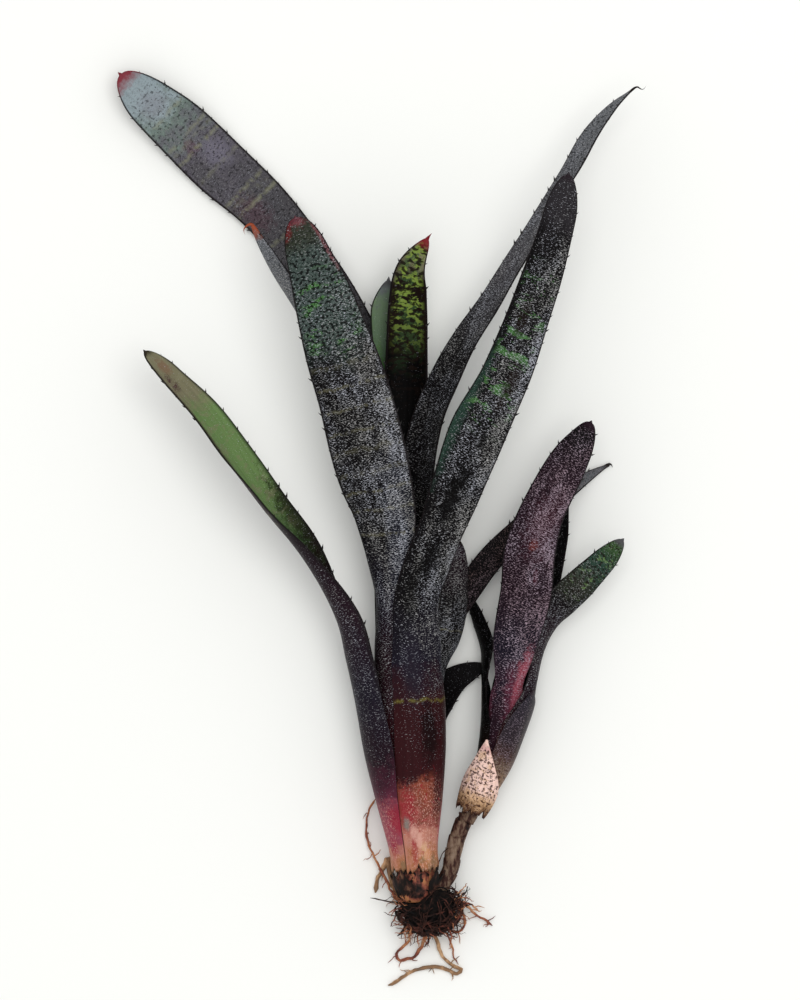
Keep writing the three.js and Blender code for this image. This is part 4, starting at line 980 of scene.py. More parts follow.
        scurf=[(0.0, 0.2), (0.1, 0.4), (0.3, 0.75), (0.8, 0.9), (0.9, 0.75), (0.97, 0.5)],
        # Thicker hairs on the right side: partly real scurf, partly painted sheen.
        scurf_and_sheen_across=[(0.0, 1.15), (0.4, 1.0), (0.8, 0.8), (1.0, 0.8)], tip_ink="plum",
        flushes=[(-0.75, 0.29, 0.4, 0.08, "rose", 0.95), (-0.5, 0.23, 0.3, 0.05, "rose", 0.6),
                 (0.4, 0.18, 0.55, 0.11, "plum", 0.95), (0.6, 0.3, 0.6, 0.09, "violet", 0.8),
                 (-0.1, 0.64, 0.2, 0.02, "rust", 0.5), (-0.3, 0.56, 0.1, 0.03, "maroon", 0.9),
                 (-0.2, 0.7, 0.8, 0.12, "maroon", 0.5)],
        tip_reach=4.0, silver="#AC9BA8", warm="#9C8690"),
    "pup_leaf_right": dict(
        back=[(0.0, "rust"), (0.2, "wine"), (0.35, "plum"), (0.6, "plum"), (0.72, "charcoal"),
              (0.8, "loden"), (0.88, "pine"), (0.97, "moss")],
        front=DARK_FACE, scurf=[(0.0, 0.1), (0.3, 0.6), (0.75, 0.7), (0.9, 0.5)],
        specks=[(0.65, 0.0), (0.78, 0.8), (0.97, 0.8)], speck_cut=0.55, speck_ink="umber",
        blotches=[([(0.72, 0.0), (0.8, 0.6), (0.96, 0.7), (0.99, 0.0)], "fern", (0.2, 0.25), 0.55)],
        tip_ink="ash", tip_reach=3.0, frost=0.6),
    "pup_leaf_back": SHADED_LOOK,
    "pup_leaf_left": SHADED_LOOK,
    "pup_bract_dark": dict(
        back=[(0.0, "husk"), (0.24, "husk"), (0.36, "bark"), (0.46, "brown"), (0.6, "plum"),
              (0.95, "violet")],
        specks=[(0.0, 0.9), (0.4, 0.9), (0.55, 0.0)], speck_cut=0.55, speck_ink="brown",
        front=DARK_FACE, scurf=[(0.0, 0.5), (0.35, 0.8), (0.6, 0.7), (0.9, 0.5)], tip_ink="plum",
        silver="#A08F9C", warm="#8F7C74", tip_reach=2.0, frost=0.6, shine=0.2),
    "pup_bract_papery": dict(
        back=[(0.0, "brown"), (0.1, "husk"), (0.2, "cream"), (0.34, "paper"), (0.8, "paper"),
              (0.97, "pink")],
        front=[(0.0, "peach"), (0.9, "peach")], scurf=[(0.0, 0.3), (0.5, 0.5), (1.0, 0.3)],
        silver="#F0DCD4", warm="#E8CBBE", frost=0.5, gap_depth=0.2,
        blotches=[([(0.0, 0.9), (0.3, 0.8), (0.45, 0.0)], "brown", (1.1, 0.3), 0.55),
                  ([(0.1, 0.0), (0.25, 0.8), (0.9, 0.9), (1.0, 0.4)], "wine", (0.7, 0.5), 0.53),
                  ([(0.0, 0.6), (0.9, 0.6)], "cream", (0.3, 0.3), 0.52)],
        tip_ink="paper", specks=[(0.0, 0.9), (1.0, 0.9)], speck_cut=0.56, speck_ink="brown",
        tip_reach=3.0, roughness=0.6, veins=0.45),
}

# What the dry parts look like: their colours, how fine the pattern is per metre (250 gives
# patches 4 mm apart), its stretch along x, y and z, their roughness and relief in mm, and the
# ink, share and fineness of specks.
EVEN = (1.0, 1.0, 1.0)
DRY_LOOKS = {
    # Bark of a living runner: matt and corky, in streaks of brown and grey along it.
    "stolon_bark": ([(0.34, "soot"), (0.46, "brown"), (0.58, "bark"), (0.74, "taupe")],
                    260.0, (1.6, 0.5, 1.6), 0.75, 0.4),
    # Bare stem where leaves were pulled off: dull amber and clay patches with sooty specks.
    "stem_wood": ([(0.35, "soot"), (0.42, "brown"), (0.47, "clay"), (0.53, "tan"),
                   (0.68, "amber")], 110.0, (1.2, 0.7, 1.2), 0.65, 0.5, ("soot", 0.6, 420.0)),
    # Rotted leaf bases: nearly black and fibrous, with pale strands that catch the light.
    "torn_leaf_base": ([(0.34, "soot"), (0.5, "umber"), (0.6, "brown"), (0.74, "husk")],
                       300.0, (1.4, 0.4, 1.4), 0.8, 0.4),
    # Matted roots with old soil in them: pitted and dead matt, so that the mass stays dark.
    "matted_root_mass": ([(0.4, "soot"), (0.6, "umber"), (0.76, "brown")], 420.0, EVEN, 0.9, 0.8),
    # Living wiry roots: tan to cream, a little less dull than the dry ones.
    "wiry_root": ([(0.32, "brown"), (0.45, "clay"), (0.56, "tan"), (0.7, "cream")],
                  160.0, EVEN, 0.7, 0.2),
    # Roots dried in the air: pale and husky, like straw.
    "dry_root": ([(0.3, "bark"), (0.48, "husk"), (0.62, "cream")], 200.0, EVEN, 0.8, 0.2),
    # Dead roots: dark, brittle and dull.
    "dead_root": ([(0.4, "soot"), (0.58, "brown"), (0.74, "clay")], 240.0, EVEN, 0.85, 0.2),
}
ROOT_LOOKS = {"wiry": "wiry_root", "dry": "dry_root", "dark": "dead_root"}


# ---- Stem, stolon and roots: the same lines as in the solid model, in millimetres ----
STEM_LINE = [(0.2, -9, 12), (0, -3, 12.2), (0, 2, 12.5), (-0.8, 12, 13.1), (-1.3, 20, 13.4)]
STEM_RADII = [4.4, 7.2, 8, 8.1, 8.1, 7.2, 6.4, 5.2, 4, 3, 2.2, 1]
STOLON_LINE = [(5, -6, 10.5), (10, -2.5, 10.4), (13.6, 3.5, 10.2), (14.8, 10, 10.2),
               (16.6, 17, 10.6), (20.2, 26, 11)]
STOLON_RADIUS = 2.7
STOLON_SCALES = [0.14, 0.28, 0.42, 0.56, 0.7, 0.84]  # where its dry scales sit, along it
PUP_STEM_LINE = [(20, 23, 11), (22.2, 28, 11.1), (24.8, 34, 11.3), (28, 42, 11.7)]
PUP_STEM_RADII = [2.8, 3.4, 3.3, 2.6, 1.6, 0.8]
TORN_BASES = 13
BARE_FACE, BARE_REACH = 82, 24  # where the torn bases leave the stem bare, in degrees
ROOT_MASS_CENTRE = np.array([5.2, -11, 10.6])
ROOT_MASS_RADII = np.array([12.6, 11, 9.6])
ROOT_ROOM_LINE = [(0.2, -9.6, 12), (0, -5, 12.1), (0, 2, 12.5), (-0.6, 10, 13)]
ROOT_ROOM_RADII = [4.8, 8.2, 9.2, 10.2, 10.6, 10.6]  # room in the mass for the stem and the tube
# Each long root: its kind, radius at its start and at its end, then the points it runs through.
LONG_ROOTS = [
    ("wiry", 0.7, 0.55, [
        (3, -14, 6), (4.2, -20, 3.4), (2.6, -26, 1.6), (-0.6, -31.4, 1.4), (-3.4, -32, 1.4),
        (-7, -32.6, 1.5), (-7.6, -29.4, 1.8), (-3, -25, 2.6), (-2.6, -21, 4), (-2, -14, 7)]),
    ("dry", 0.75, 0.65, [
        (6, -15, 6), (7, -21, 3.6), (8.8, -26, 2), (10.6, -31, 1.3), (15, -35, 1.2),
        (18.6, -36.8, 1.2), (15.6, -38, 1.1), (12, -36.2, 1.1), (6, -35.4, 1.1), (-1, -36.8, 1.1),
        (-4.8, -39.2, 1.1), (-8.4, -41.4, 1), (-11.2, -42.8, 1)]),
    ("wiry", 0.45, 0.3, [
        (9, -16, 7), (12.6, -22.6, 3.6), (14.8, -28, 1.6), (15, -31, 1), (17, -34.4, 0.8)]),
    ("wiry", 0.7, 0.45, [
        (11, -11, 8), (17.8, -9, 7), (21.6, -12, 5), (24, -14.4, 3), (27.6, -16.4, 1.6),
        (30.8, -19, 1)]),
    ("wiry", 0.5, 0.35, [(12, -12, 7), (19.4, -9.6, 5), (23.2, -11, 3.6), (25.4, -13.6, 2.6)]),
    ("wiry", 0.6, 0.4, [
        (12, -10, 5), (17, -12, 3), (19.6, -15.4, 1.8), (19.4, -19, 1.3), (17, -21.4, 1.1),
        (13.6, -20.4, 1.6), (11, -16, 4)]),
    ("wiry", 0.55, 0.4, [
        (-2, -13, 8), (-9, -6, 5), (-13, 2, 3.6), (-16.4, 8, 2.8), (-18.8, 13.4, 2),
        (-20, 19, 1.6), (-19, 27, 1.6), (-16.4, 32, 1.8)]),
    ("dry", 1.1, 0.9, [
        (-1, -14, 6), (-8, -5.4, 2.8), (-10.6, 3, 2), (-11.4, 8.6, 1.6), (-13.4, 4, 1.5),
        (-15.6, -0.6, 1.4), (-16.2, -5.6, 1.3)]),
    ("dark", 0.35, 0.25, [(0, -12, 9), (-8, -9.4, 8), (-13, -8.6, 6.4), (-18.2, -7.6, 5)]),
    ("dark", 0.7, 0.5, [(1, -16, 6), (-3, -19, 3.6), (-7.4, -23, 1.6)]),
    ("dark", 0.22, 0.16, [
        (8, -2, 14), (9, 6, 14), (11, 11, 13), (14, 12.4, 12), (15.8, 9.6, 11), (15, 6, 10.5),
        (12, 4.4, 10)]),
]
LIMB_SAMPLES, ROOT_SAMPLES = 200, 120  # along a smooth line, to measure it
BARK_WAVES = 7
LUMP_SIZES = ((9, 0.35), (17, 0.3), (31, 0.22), (55, 0.14))  # pace and depth on the root mass
LUMPS_OF_EACH_SIZE = 4
MASS_FOOT, FIBRE_FOOT = 0.45, 0.7  # the lowest that the mass and the fibres on it reach
SCALE_STATIONS, SCALE_SIDES = 9, 36
SCALE_BEFORE, SCALE_AFTER = 0.08, 0.1  # its reach along the stolon, as shares of its length
SCALE_THICKNESS, SCALE_SUNK, SCALE_FLARE = 0.3, 0.25, 0.75
SCALE_POINT, SCALE_FRAY = 3.2, 0.25  # how far its end stands out of the ring
ROOT_LIFT = 0.3  # the clearance under a root
KNOTS = (0.8, 1.2)  # the least and the most of a root's radius at its knots
THIN_END = 0.3
LESS_UPRIGHT = np.array([1, 1, 0.5])  # roots wander less up and down than sideways
LONG_STEP, SIDE_STEP, SHORT_STEP = 1.6, 0.9, 1.0
LONG_WANDER, SHORT_WANDER = 0.12, 0.18
SIDE_RADII = (0.24, 0.13)  # of a side root, at its start and at its end
SIDE_REACH, SIDE_BEND = (1.5, 5.5), 0.8
SHORT_RADII, SHORT_REACH, SHORT_CURL = (0.14, 0.4), (2, 8.5), 0.8
SHORT_ARC = (0.88, 2.22)  # where short roots stand round the mass, in half turns
SHORT_SLOPE = (-0.75, 0.8)
WIRY_SHARE = 0.45
FIBRE_RADII, FIBRE_SWEEP, FIBRE_POINTS = (0.14, 0.42), (0.3, 1.1), 9
ROOT_CLEARANCE = -0.6  # how far matted roots may reach into the room for the stem


def evenly(points, samples, step):
    """Points about `step` apart on the smooth line through `points`, and how far along they are."""
    fine = smooth(points, np.linspace(0, 1, samples))
    reached = run_lengths(fine)
    count = max(4, round(reached[-1] / step))
    s = np.linspace(0, reached[-1], count + 1)
    return np.stack([np.interp(s, reached, fine[:, k]) for k in range(3)], axis=1), s


def frame_along(line):
    """The directions along a line, across it and upwards from it, at each of its points."""
    along = unit(np.gradient(line, axis=0))
    across = unit(np.cross(along, UP))
    return along, across, np.cross(across, along)


def bark_tube(name, points, radii, sides, step, roughness, seed):
    """A limb with an uneven bark-like skin, closed at both ends, round a smooth line."""
    rng = np.random.default_rng(seed)
    centre, s = evenly(points, LIMB_SAMPLES, step)
    _, across, upward = frame_along(centre)
    radius = np.interp(s / s[-1], np.linspace(0, 1, len(radii)), radii)
    turn = np.linspace(0, TURN, sides + 1)
    bumps = np.zeros((len(s), sides + 1))
    for _ in range(BARK_WAVES):
        times, pace, phase = rng.integers(2, 9), rng.uniform(0.1, 1.6), rng.uniform(0, 6.3, 2)
        bumps += np.sin(times * turn[None] + phase[0] + np.sin(s * pace + phase[1])[:, None] * 2)
    wide = radius[:, None] + roughness * bumps / 3
    rings = (centre[:, None] + across[:, None] * (wide * np.cos(turn))[..., None]
             + upward[:, None] * (wide * np.sin(turn))[..., None])
    ends = [np.broadcast_to(centre[k], (1, sides + 1, 3)) for k in (0, -1)]
    return rolled_grid(name, np.concatenate([ends[0], rings, ends[1]]))


def clasping_scale(name, share, seed):
    """A dry scale that wraps the stolon: a short flared collar with an uneven pointed end."""
    rng = np.random.default_rng(seed)
    line = smooth(STOLON_LINE,
                  np.linspace(share - SCALE_BEFORE, share + SCALE_AFTER, SCALE_STATIONS))
    along, across, upward = frame_along(line)
    turn = np.linspace(0, TURN, SCALE_SIDES + 1)
    point = (0.5 + 0.5 * np.cos(turn - rng.uniform(0, 6.3))) ** 3
    reach = np.linspace(0, 1, SCALE_STATIONS)
    outwards = [(i, SCALE_THICKNESS) for i in range(SCALE_STATIONS)]
    back_inside = [(i, 0.0) for i in reversed(range(SCALE_STATIONS))]
    rings = []
    for i, skin in outwards + back_inside:
        wide = STOLON_RADIUS - SCALE_SUNK + SCALE_FLARE * reach[i] ** 0.5 + skin
        push = (point * SCALE_POINT + SCALE_FRAY * np.sin(5 * turn)) * reach[i] ** 2
        rings.append(line[i] + across[i] * (wide * np.cos(turn))[:, None]
                     + upward[i] * (wide * np.sin(turn))[:, None] + along[i] * push[:, None])
    return rolled_grid(name, np.array([*rings, rings[0]]))


def torn_face(i):
    """Which way a torn base faces on the stem, in degrees."""
    return 360 * (i + 0.3) / TORN_BASES


def torn_base(name, i):
    """What is left of an old leaf: a short ragged strap that clasps the foot of the tube."""
    face = torn_face(i)
    flare = max(0.0, math.cos(math.radians(face))) ** 2
    lift = (i * 5 % 7) * 0.45 + 1.2 * flare
    shape = dict(
        tip_length=2.4 + lift, tip_power=0.9, tip_spine=0.5, spines_from=0.3, torn=1.0,
        rows=[(1.2, -6, face, 20), (0.3, -3, face, 21), (-0.25 - 0.6 * flare, 0.2, face + 3, 19),
              (-0.45 - 0.1 * lift - 1.2 * flare, 1.6 + lift, face + 5, 15)])
    return leaf_skin(name, LeafForm(shape, MAIN_TUBE), 0.7, 0.5, 0.5, 60 + i)


def wires(name, strands, fineness=1):
    """Thin limbs swept along curves: each strand is its points and the radius at each of them."""
    data = bpy.data.curves.new(name, "CURVE")
    data.dimensions = "3D"
    data.bevel_depth = MM
    data.bevel_resolution = fineness
    data.use_fill_caps = True
    for points, radii in strands:
        spline = data.splines.new("POLY")
        spline.points.add(len(points) - 1)
        placed = (np.asarray(points) - FOOTPRINT_CENTRE) * MM
        spline.points.foreach_set("co", np.hstack([placed, np.ones((len(points), 1))]).ravel())
        spline.points.foreach_set("radius", list(radii))
    curve = bpy.data.objects.new(name, data)
    bpy.context.scene.collection.objects.link(curve)
    select_only([curve])
    bpy.ops.object.convert(target="MESH")
    bpy.ops.object.shade_smooth()
    return bpy.context.object


def wandering(points, start, end, step, wobble, rng):
    """A root along the line: closer points with a little wander, and knots in its thickness."""
    line, s = evenly(points, ROOT_SAMPLES, step)
    line += rng.normal(0, wobble, line.shape) * LESS_UPRIGHT
    radii = np.linspace(start, end, len(s)) * rng.uniform(*KNOTS, len(s))
    radii[-1] *= THIN_END
    line[:, 2] = np.maximum(line[:, 2], radii * 1.02 + ROOT_LIFT)
    return line, radii


def long_roots(rng, kinds):
    """Adds the long roots with their side roots to the strands of their kinds."""
    for kind, start, end, points in LONG_ROOTS:
        line, radii = wandering(points, start, end, LONG_STEP, LONG_WANDER, rng)
        kinds[kind].append((line, radii))
        if kind == "dark":
            continue
        for _ in range(3 + len(points) // 2):
            k = rng.integers(len(line) // 3, len(line) - 1)
            out = unit(rng.normal(0, 1, 3) * (1, 1, 0.25))
            reach = rng.uniform(*SIDE_REACH)
            bent = rng.normal(0, SIDE_BEND, 3) * (1, 1, 0.2)
            branch = [line[k], line[k] + out * reach * 0.5, line[k] + out * reach + bent]
            kinds[kind].append(wandering(branch, *SIDE_RADII, SIDE_STEP, LONG_WANDER, rng))


def short_roots(rng, kinds, count):
    """Adds the short roots that stand out all round the mass, but for the side of the stem."""
    for _ in range(count):
        turn = math.pi * rng.uniform(*SHORT_ARC)
        out = np.array([math.cos(turn), math.sin(turn), rng.uniform(*SHORT_SLOPE)])
        start = ROOT_MASS_CENTRE + unit(out) * ROOT_MASS_RADII * 0.86
        reach = rng.uniform(*SHORT_REACH) * (0.6 if out[2] > 0.2 else 1)
        curl = np.array([-out[1], out[0], 0]) * rng.uniform(-SHORT_CURL, SHORT_CURL) * reach
        hair = [start, start + out * reach * 0.55 + curl * 0.25,
                start + out * reach * 0.9 + curl + (0, 0, -0.35 * reach)]
        thick = rng.uniform(*SHORT_RADII)
        kind = "wiry" if rng.random() < WIRY_SHARE else "dark"
        kinds[kind].append(wandering(hair, thick, thick * 0.5, SHORT_STEP, SHORT_WANDER, rng))


def matted_strands(rng, count):
    """Fibres that lie over the mass, wound round it this way and that, clear of the stem."""
    strands = []
    for _ in range(count):
        here = unit(rng.normal(0, 1, 3) + np.array([0.1, -0.75, 0.2]))
        heading = unit(np.cross(here, rng.normal(0, 1, 3)))
        sweep = np.linspace(0, rng.uniform(*FIBRE_SWEEP), FIBRE_POINTS)[:, None]
        arc = unit(here * np.cos(sweep) + heading * np.sin(sweep))
        lift = 1.0 + 0.05 * rng.random() + 0.05 * np.sin(sweep * rng.uniform(4, 9))
        line = ROOT_MASS_CENTRE + arc * ROOT_MASS_RADII * lift
        line += rng.normal(0, 0.12, line.shape)
        line[:, 2] = np.maximum(line[:, 2], FIBRE_FOOT)
        thick = rng.uniform(*FIBRE_RADII)
        if outside_room(line):
            strands.append((line, np.linspace(thick, thick * 0.6, FIBRE_POINTS)))
    return strands


def outside_room(line):
    """True where a line keeps clear of the stem and the foot of the tube."""
    places = np.linspace(0, 1, 40)
    room = smooth(ROOT_ROOM_LINE, places)
    wide = np.interp(places, np.linspace(0, 1, len(ROOT_ROOM_RADII)), ROOT_ROOM_RADII)
    gap = np.linalg.norm(line[:, None] - room[None], axis=2) - wide
    return gap.min() > ROOT_CLEARANCE


def root_mass(name, lumps):
    """The dark mass that the roots grow from, lumpy and pitted, with room cut for the stem."""
    bpy.ops.object.select_all(action="DESELECT")
    bpy.ops.mesh.primitive_ico_sphere_add(subdivisions=6, radius=1)
    ball = bpy.context.object
    ball.name = name
    corners = points_of(ball.data)
    x, y, z = corners.T
    swell = (np.sin(5.1 * x + 1) * np.sin(6.3 * y + 2) + np.sin(7.7 * z + 4 * x)) * 0.5
    rng = np.random.default_rng(3)
    for pace, depth in LUMP_SIZES:
        for _ in range(LUMPS_OF_EACH_SIZE):
            way = rng.normal(0, 1, (3, 3))
            phase = rng.uniform(0, 6.3, 3)
            waves = [np.sin(corners @ unit(way[k]) * pace + phase[k]) for k in range(3)]
            swell += depth * waves[0] * waves[1] * waves[2] - depth * 0.3 * np.abs(waves[0])
    corners = corners * (1 + lumps * (swell - 0.6))[:, None] * ROOT_MASS_RADII + ROOT_MASS_CENTRE
    corners[:, 2] = np.maximum(corners[:, 2], MASS_FOOT)
    ball.data.vertices.foreach_set("co", ((corners - FOOTPRINT_CENTRE) * MM).ravel())
    room = bark_tube("stem_room", ROOT_ROOM_LINE, ROOT_ROOM_RADII, 40, 1.0, 0, 0)
    select_only([ball])
    cut = ball.modifiers.new("room", "BOOLEAN")
    cut.operation = "DIFFERENCE"
    cut.object = room
    bpy.ops.object.modifier_apply(modifier=cut.name)
    bpy.data.objects.remove(room)
    bpy.ops.object.shade_smooth()
    return ball


# ---- Settings ----
class LeafSettings(bpy.types.PropertyGroup):
    """Sizes and colours of the leaves."""
    thickness: bpy.props.FloatProperty(
        name="Leaf thickness", description="Thickness along the middle of a leaf",
        default=1.0 * MM, min=0.4 * MM, subtype="DISTANCE", unit="LENGTH")
    margin: bpy.props.FloatProperty(
        name="Margin thickness", description="Thickness at a leaf's margins",
        default=0.6 * MM, min=0.2 * MM, subtype="DISTANCE", unit="LENGTH")
    waves: bpy.props.FloatProperty(
        name="Margin waves", description="Height of the ripples in a free blade's margins",
        default=0.22 * MM, min=0.0, subtype="DISTANCE", unit="LENGTH")
    thorn_gap: bpy.props.FloatProperty(
        name="Thorn gap", description="Usual distance between two thorns on a margin",
        default=8.5 * MM, min=2 * MM, subtype="DISTANCE", unit="LENGTH")
    thorn_length: bpy.props.FloatProperty(
        name="Thorn length", description="Usual reach of a thorn out of the margin",
        default=1.8 * MM, min=0.3 * MM, subtype="DISTANCE", unit="LENGTH")
    silver: bpy.props.StringProperty(
        name="Scale hairs", description="Colour of the silvery scale hairs", default="#B9BBC3")
    warm_silver: bpy.props.StringProperty(
        name="Warm scale hairs", description="Their colour where they are stained",
        default="#A8A7A5")
    scurf_cut: bpy.props.FloatProperty(
        name="Bare skin", description="Share of the skin left bare where the hairs are thickest",
        default=0.49, min=0.3, max=0.62, subtype="FACTOR")
    dark: bpy.props.StringProperty(
        name="Between the hairs", description="Colour of the bare skin between scale hairs",
        default="#090808")
    margin_ink: bpy.props.StringProperty(
        name="Margin", description="Colour of the horny margin", default="#171213")


class RootSettings(bpy.types.PropertyGroup):
    """How the stem and the roots are grown."""
    bark_relief: bpy.props.FloatProperty(
        name="Bark relief", description="Unevenness of the stem and the stolon",
        default=0.28 * MM, min=0.0, subtype="DISTANCE", unit="LENGTH")
    lumps: bpy.props.FloatProperty(
        name="Lumps", description="Unevenness of the root mass, as a share of its radius",
        default=0.12, min=0.0, max=0.3, subtype="FACTOR")
    short_roots: bpy.props.IntProperty(
        name="Short roots", description="Wiry roots that stand out of the mass",
        default=150, min=0)
    matted_roots: bpy.props.IntProperty(
        name="Matted roots", description="Fibres laid over the mass, before those at the stem go",
        default=260, min=0)


class StageSettings(bpy.types.PropertyGroup):
    """The floor, the light and the camera."""
    floor_colour: bpy.props.StringProperty(
        name="Floor", description="Colour of the surface that the plant lies on",
        default="#F5F5F0")
    camera_height: bpy.props.FloatProperty(
        name="Camera height", description="Height of the camera above the plant",
        default=6.0, min=0.5, subtype="DISTANCE", unit="LENGTH")
    lens: bpy.props.FloatProperty(
        name="Lens", description="Focal length, in millimetres on a 36 mm sensor",
        default=540.0, min=35.0, subtype="DISTANCE_CAMERA", unit="CAMERA")
    key_power: bpy.props.FloatProperty(
        name="Key light", description="Power of the large soft light", default=21.0, min=0.0,
        unit="POWER")
    sky: bpy.props.FloatProperty(
        name="Sky", description="Strength of the even light all round", default=0.85, min=0.0)


# ---- Operators ----
FIRST_SEED = 11  # of the first leaf; each leaf after it has the next one
ROOT_SEED = 17
STEM_SIDES, STEM_STEP = 40, 0.8  # faces round a limb, and the distance between its rings in mm
STOLON_SIDES, STOLON_STEP = 28, 0.6

# The stage, in metres.
FLOOR_SIZE = 12.0
KEY_PLACE, KEY_SIZE = (0.4, 0.36, 2.3), 1.9
SKY_COLOUR = "#F7F8FA"
CAMERA_X, CAMERA_Y = 0.0086, 0.0117  # a little off the middle of the plant
PLANT_TOP = 0.02  # the height that the camera's own is measured from
SENSOR_WIDTH = 36.0
FARTHEST_SEEN = 100.0


class Grower:
    """What the operators that grow leaves have in common."""
    bl_options = {"REGISTER", "UNDO"}

    def grow(self, context, names):
        """Grows the leaves named, each with its thorns and its own finish."""
        settings = context.scene.neoregelia_leaves
        thorn = thorn_form()
        horn = bpy.data.materials.get("horn_thorn") or horn_finish()
        order = list(LEAF_SHAPES)
        for name in names:
            seed = order.index(name) + FIRST_SEED
            shape = LEAF_SHAPES[name]
            form = LeafForm(shape, PUP_TUBE if name.startswith("pup") else MAIN_TUBE)
            piece = leaf_skin(f"{name}_grown", form, settings.thickness / MM,
                              settings.margin / MM, settings.waves / MM, seed)
            piece.data.materials.append(leaf_finish(
                f"leaf_skin_{name}", LEAF_LOOKS[name], shape["spines_from"], settings, seed))
            frames = []
            if shape["spines_from"] < 1:
                frames = thorn_frames(form, settings.thorn_gap / MM,
                                      settings.thorn_length / MM, seed)
            if frames:
                thorns = copies_of("thorns", thorn, frames)
                thorns.data.materials.append(horn)
                piece = join([piece, thorns], f"{name}_grown")
            give(piece, name)
        return {"FINISHED"}


class NEOREGELIA_OT_rosette(Grower, bpy.types.Operator):
    """Grow the eleven leaves of the main rosette"""
    bl_idname = "neoregelia.rosette"
    bl_label = "Grow the rosette"

    def execute(self, context):
        return self.grow(context, [name for name in LEAF_SHAPES if name.startswith("leaf")])


class NEOREGELIA_OT_pup(Grower, bpy.types.Operator):
    """Grow the four leaves and two bracts of the pup"""
    bl_idname = "neoregelia.pup"
    bl_label = "Grow the pup"

    def execute(self, context):
        return self.grow(context, [name for name in LEAF_SHAPES if name.startswith("pup")])


class NEOREGELIA_OT_stem(bpy.types.Operator):
    """Grow the stem, the stolon with its scales and the torn bases of old leaves"""
    bl_idname = "neoregelia.stem"
    bl_label = "Grow the stem"
    bl_options = {"REGISTER", "UNDO"}

    def execute(self, context):
        relief = context.scene.neoregelia_roots.bark_relief / MM
        skin = (STOLON_SIDES, STOLON_STEP, relief)
        woody = [bark_tube("stem_core", STEM_LINE, STEM_RADII, STEM_SIDES, STEM_STEP, relief, 1)]
        runner = [bark_tube("stolon", STOLON_LINE, [STOLON_RADIUS] * 2, *skin, 2),
                  bark_tube("pup_stem", PUP_STEM_LINE, PUP_STEM_RADII, *skin, 3)]
        runner += [clasping_scale(f"scale_{i}", share, i) for i, share in enumerate(STOLON_SCALES)]
        husks = [torn_base(f"torn_{i}", i) for i in range(TORN_BASES)
                 if abs(torn_face(i) - BARE_FACE) > BARE_REACH]
        cover(runner, "stolon_bark")
        cover(woody, "stem_wood")
        cover(husks, "torn_leaf_base")
        give(join(runner + woody + husks, "stem_grown"), "stem")
        return {"FINISHED"}


class NEOREGELIA_OT_roots(bpy.types.Operator):
    """Grow the root mass with its long, short and matted roots"""
    bl_idname = "neoregelia.roots"
    bl_label = "Grow the roots"
    bl_options = {"REGISTER", "UNDO"}

    def execute(self, context):
        settings = context.scene.neoregelia_roots
        rng = np.random.default_rng(ROOT_SEED)
        mass = root_mass("root_mass", settings.lumps)
        cover([mass], "matted_root_mass")
        strands = {kind: [] for kind in ROOT_LOOKS}
        long_roots(rng, strands)
        short_roots(rng, strands, settings.short_roots)
        roots = {kind: [wires(f"roots_{kind}", strands[kind])] for kind in ROOT_LOOKS}
        lying = matted_strands(rng, settings.matted_roots)
        roots["dark"].append(wires("roots_lying", lying, 0))
        for kind, look in ROOT_LOOKS.items():
            cover(roots[kind], look)
        give(join([mass, *sum(roots.values(), [])], "roots_grown"), "roots")
        return {"FINISHED"}


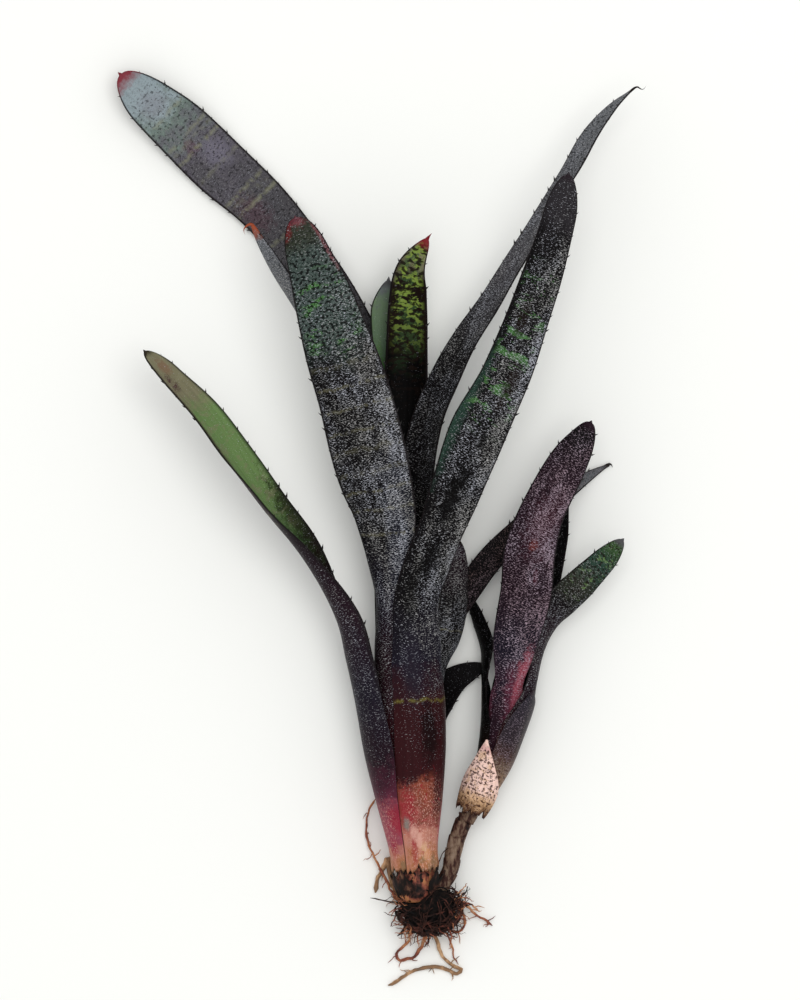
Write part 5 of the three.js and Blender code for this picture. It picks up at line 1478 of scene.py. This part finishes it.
class NEOREGELIA_OT_stage(bpy.types.Operator):
    """Lay the pale floor and set up the soft light and the camera overhead"""
    bl_idname = "neoregelia.stage"
    bl_label = "Set the stage"
    bl_options = {"REGISTER", "UNDO"}

    def execute(self, context):
        settings = context.scene.neoregelia_stage
        bpy.ops.object.select_all(action="DESELECT")
        bpy.ops.mesh.primitive_plane_add(size=FLOOR_SIZE, location=(0, 0, 0))
        floor = context.object
        floor.name = "floor"
        # Painted board: nearly white and matt, with a faint unevenness in its sheen.
        material, tree = new_material("painted_board")
        place = add_node(tree, "TexCoord", out="Object")
        mottle = add_node(tree, "TexNoise", {"Vector": place, "Scale": 6.0})
        rough = add_node(tree, "MapRange", {0: mottle, 3: 0.55, 4: 0.75})
        shader = add_node(tree, "BsdfPrincipled", {
            "Base Color": linear(settings.floor_colour), "Roughness": rough,
            "Specular IOR Level": 0.2})
        add_node(tree, "OutputMaterial", [shader])
        floor.data.materials.append(material)

        bpy.ops.object.light_add(type="AREA", location=KEY_PLACE)
        key = context.object
        key.data.shape = "DISK"
        key.data.size = KEY_SIZE
        key.data.energy = settings.key_power
        key.rotation_mode = "QUATERNION"
        key.rotation_quaternion = (-key.location).to_track_quat("-Z", "Y")

        world = bpy.data.worlds.new("even_light")
        world.use_nodes = True
        sky = world.node_tree.nodes["Background"].inputs
        sky["Color"].default_value = linear(SKY_COLOUR)
        sky["Strength"].default_value = settings.sky
        context.scene.world = world
        context.scene.view_settings.view_transform = "Standard"

        camera = bpy.data.cameras.new("overhead")
        camera.sensor_width = SENSOR_WIDTH
        camera.lens = settings.lens
        camera.clip_end = FARTHEST_SEEN
        stand = bpy.data.objects.new("overhead", camera)
        stand.location = (CAMERA_X, CAMERA_Y, PLANT_TOP + settings.camera_height)
        context.scene.collection.objects.link(stand)
        context.scene.camera = stand
        return {"FINISHED"}


class NEOREGELIA_PT_panel(bpy.types.Panel):
    """The sidebar panel with the plant's settings and operators."""
    bl_idname = "NEOREGELIA_PT_panel"
    bl_label = "Neoregelia"
    bl_space_type = "VIEW_3D"
    bl_region_type = "UI"
    bl_category = "Neoregelia"

    def draw(self, context):
        for group in SETTINGS:
            box = self.layout.box()
            settings = getattr(context.scene, group)
            for name in settings.bl_rna.properties.keys():
                if name not in ("rna_type", "name"):
                    box.prop(settings, name)
        for operator in OPERATORS:
            self.layout.operator(operator.bl_idname)


SETTINGS = {
    "neoregelia_leaves": LeafSettings,
    "neoregelia_roots": RootSettings,
    "neoregelia_stage": StageSettings,
}
OPERATORS = [NEOREGELIA_OT_rosette, NEOREGELIA_OT_pup, NEOREGELIA_OT_stem, NEOREGELIA_OT_roots,
             NEOREGELIA_OT_stage]


def register():
    """Adds the settings, the operators and the panel."""
    for group, settings in SETTINGS.items():
        bpy.utils.register_class(settings)
        setattr(bpy.types.Scene, group, bpy.props.PointerProperty(type=settings))
    for made in [*OPERATORS, NEOREGELIA_PT_panel]:
        bpy.utils.register_class(made)


def unregister():
    """Takes them away again."""
    for made in [NEOREGELIA_PT_panel, *reversed(OPERATORS)]:
        bpy.utils.unregister_class(made)
    for group, settings in SETTINGS.items():
        delattr(bpy.types.Scene, group)
        bpy.utils.unregister_class(settings)


def main_run():
    """Grows the whole plant in order."""
    register()
    bpy.ops.neoregelia.rosette()
    bpy.ops.neoregelia.pup()
    bpy.ops.neoregelia.stem()
    bpy.ops.neoregelia.roots()
    bpy.ops.neoregelia.stage()


if __name__ == "__main__":
    main_run()
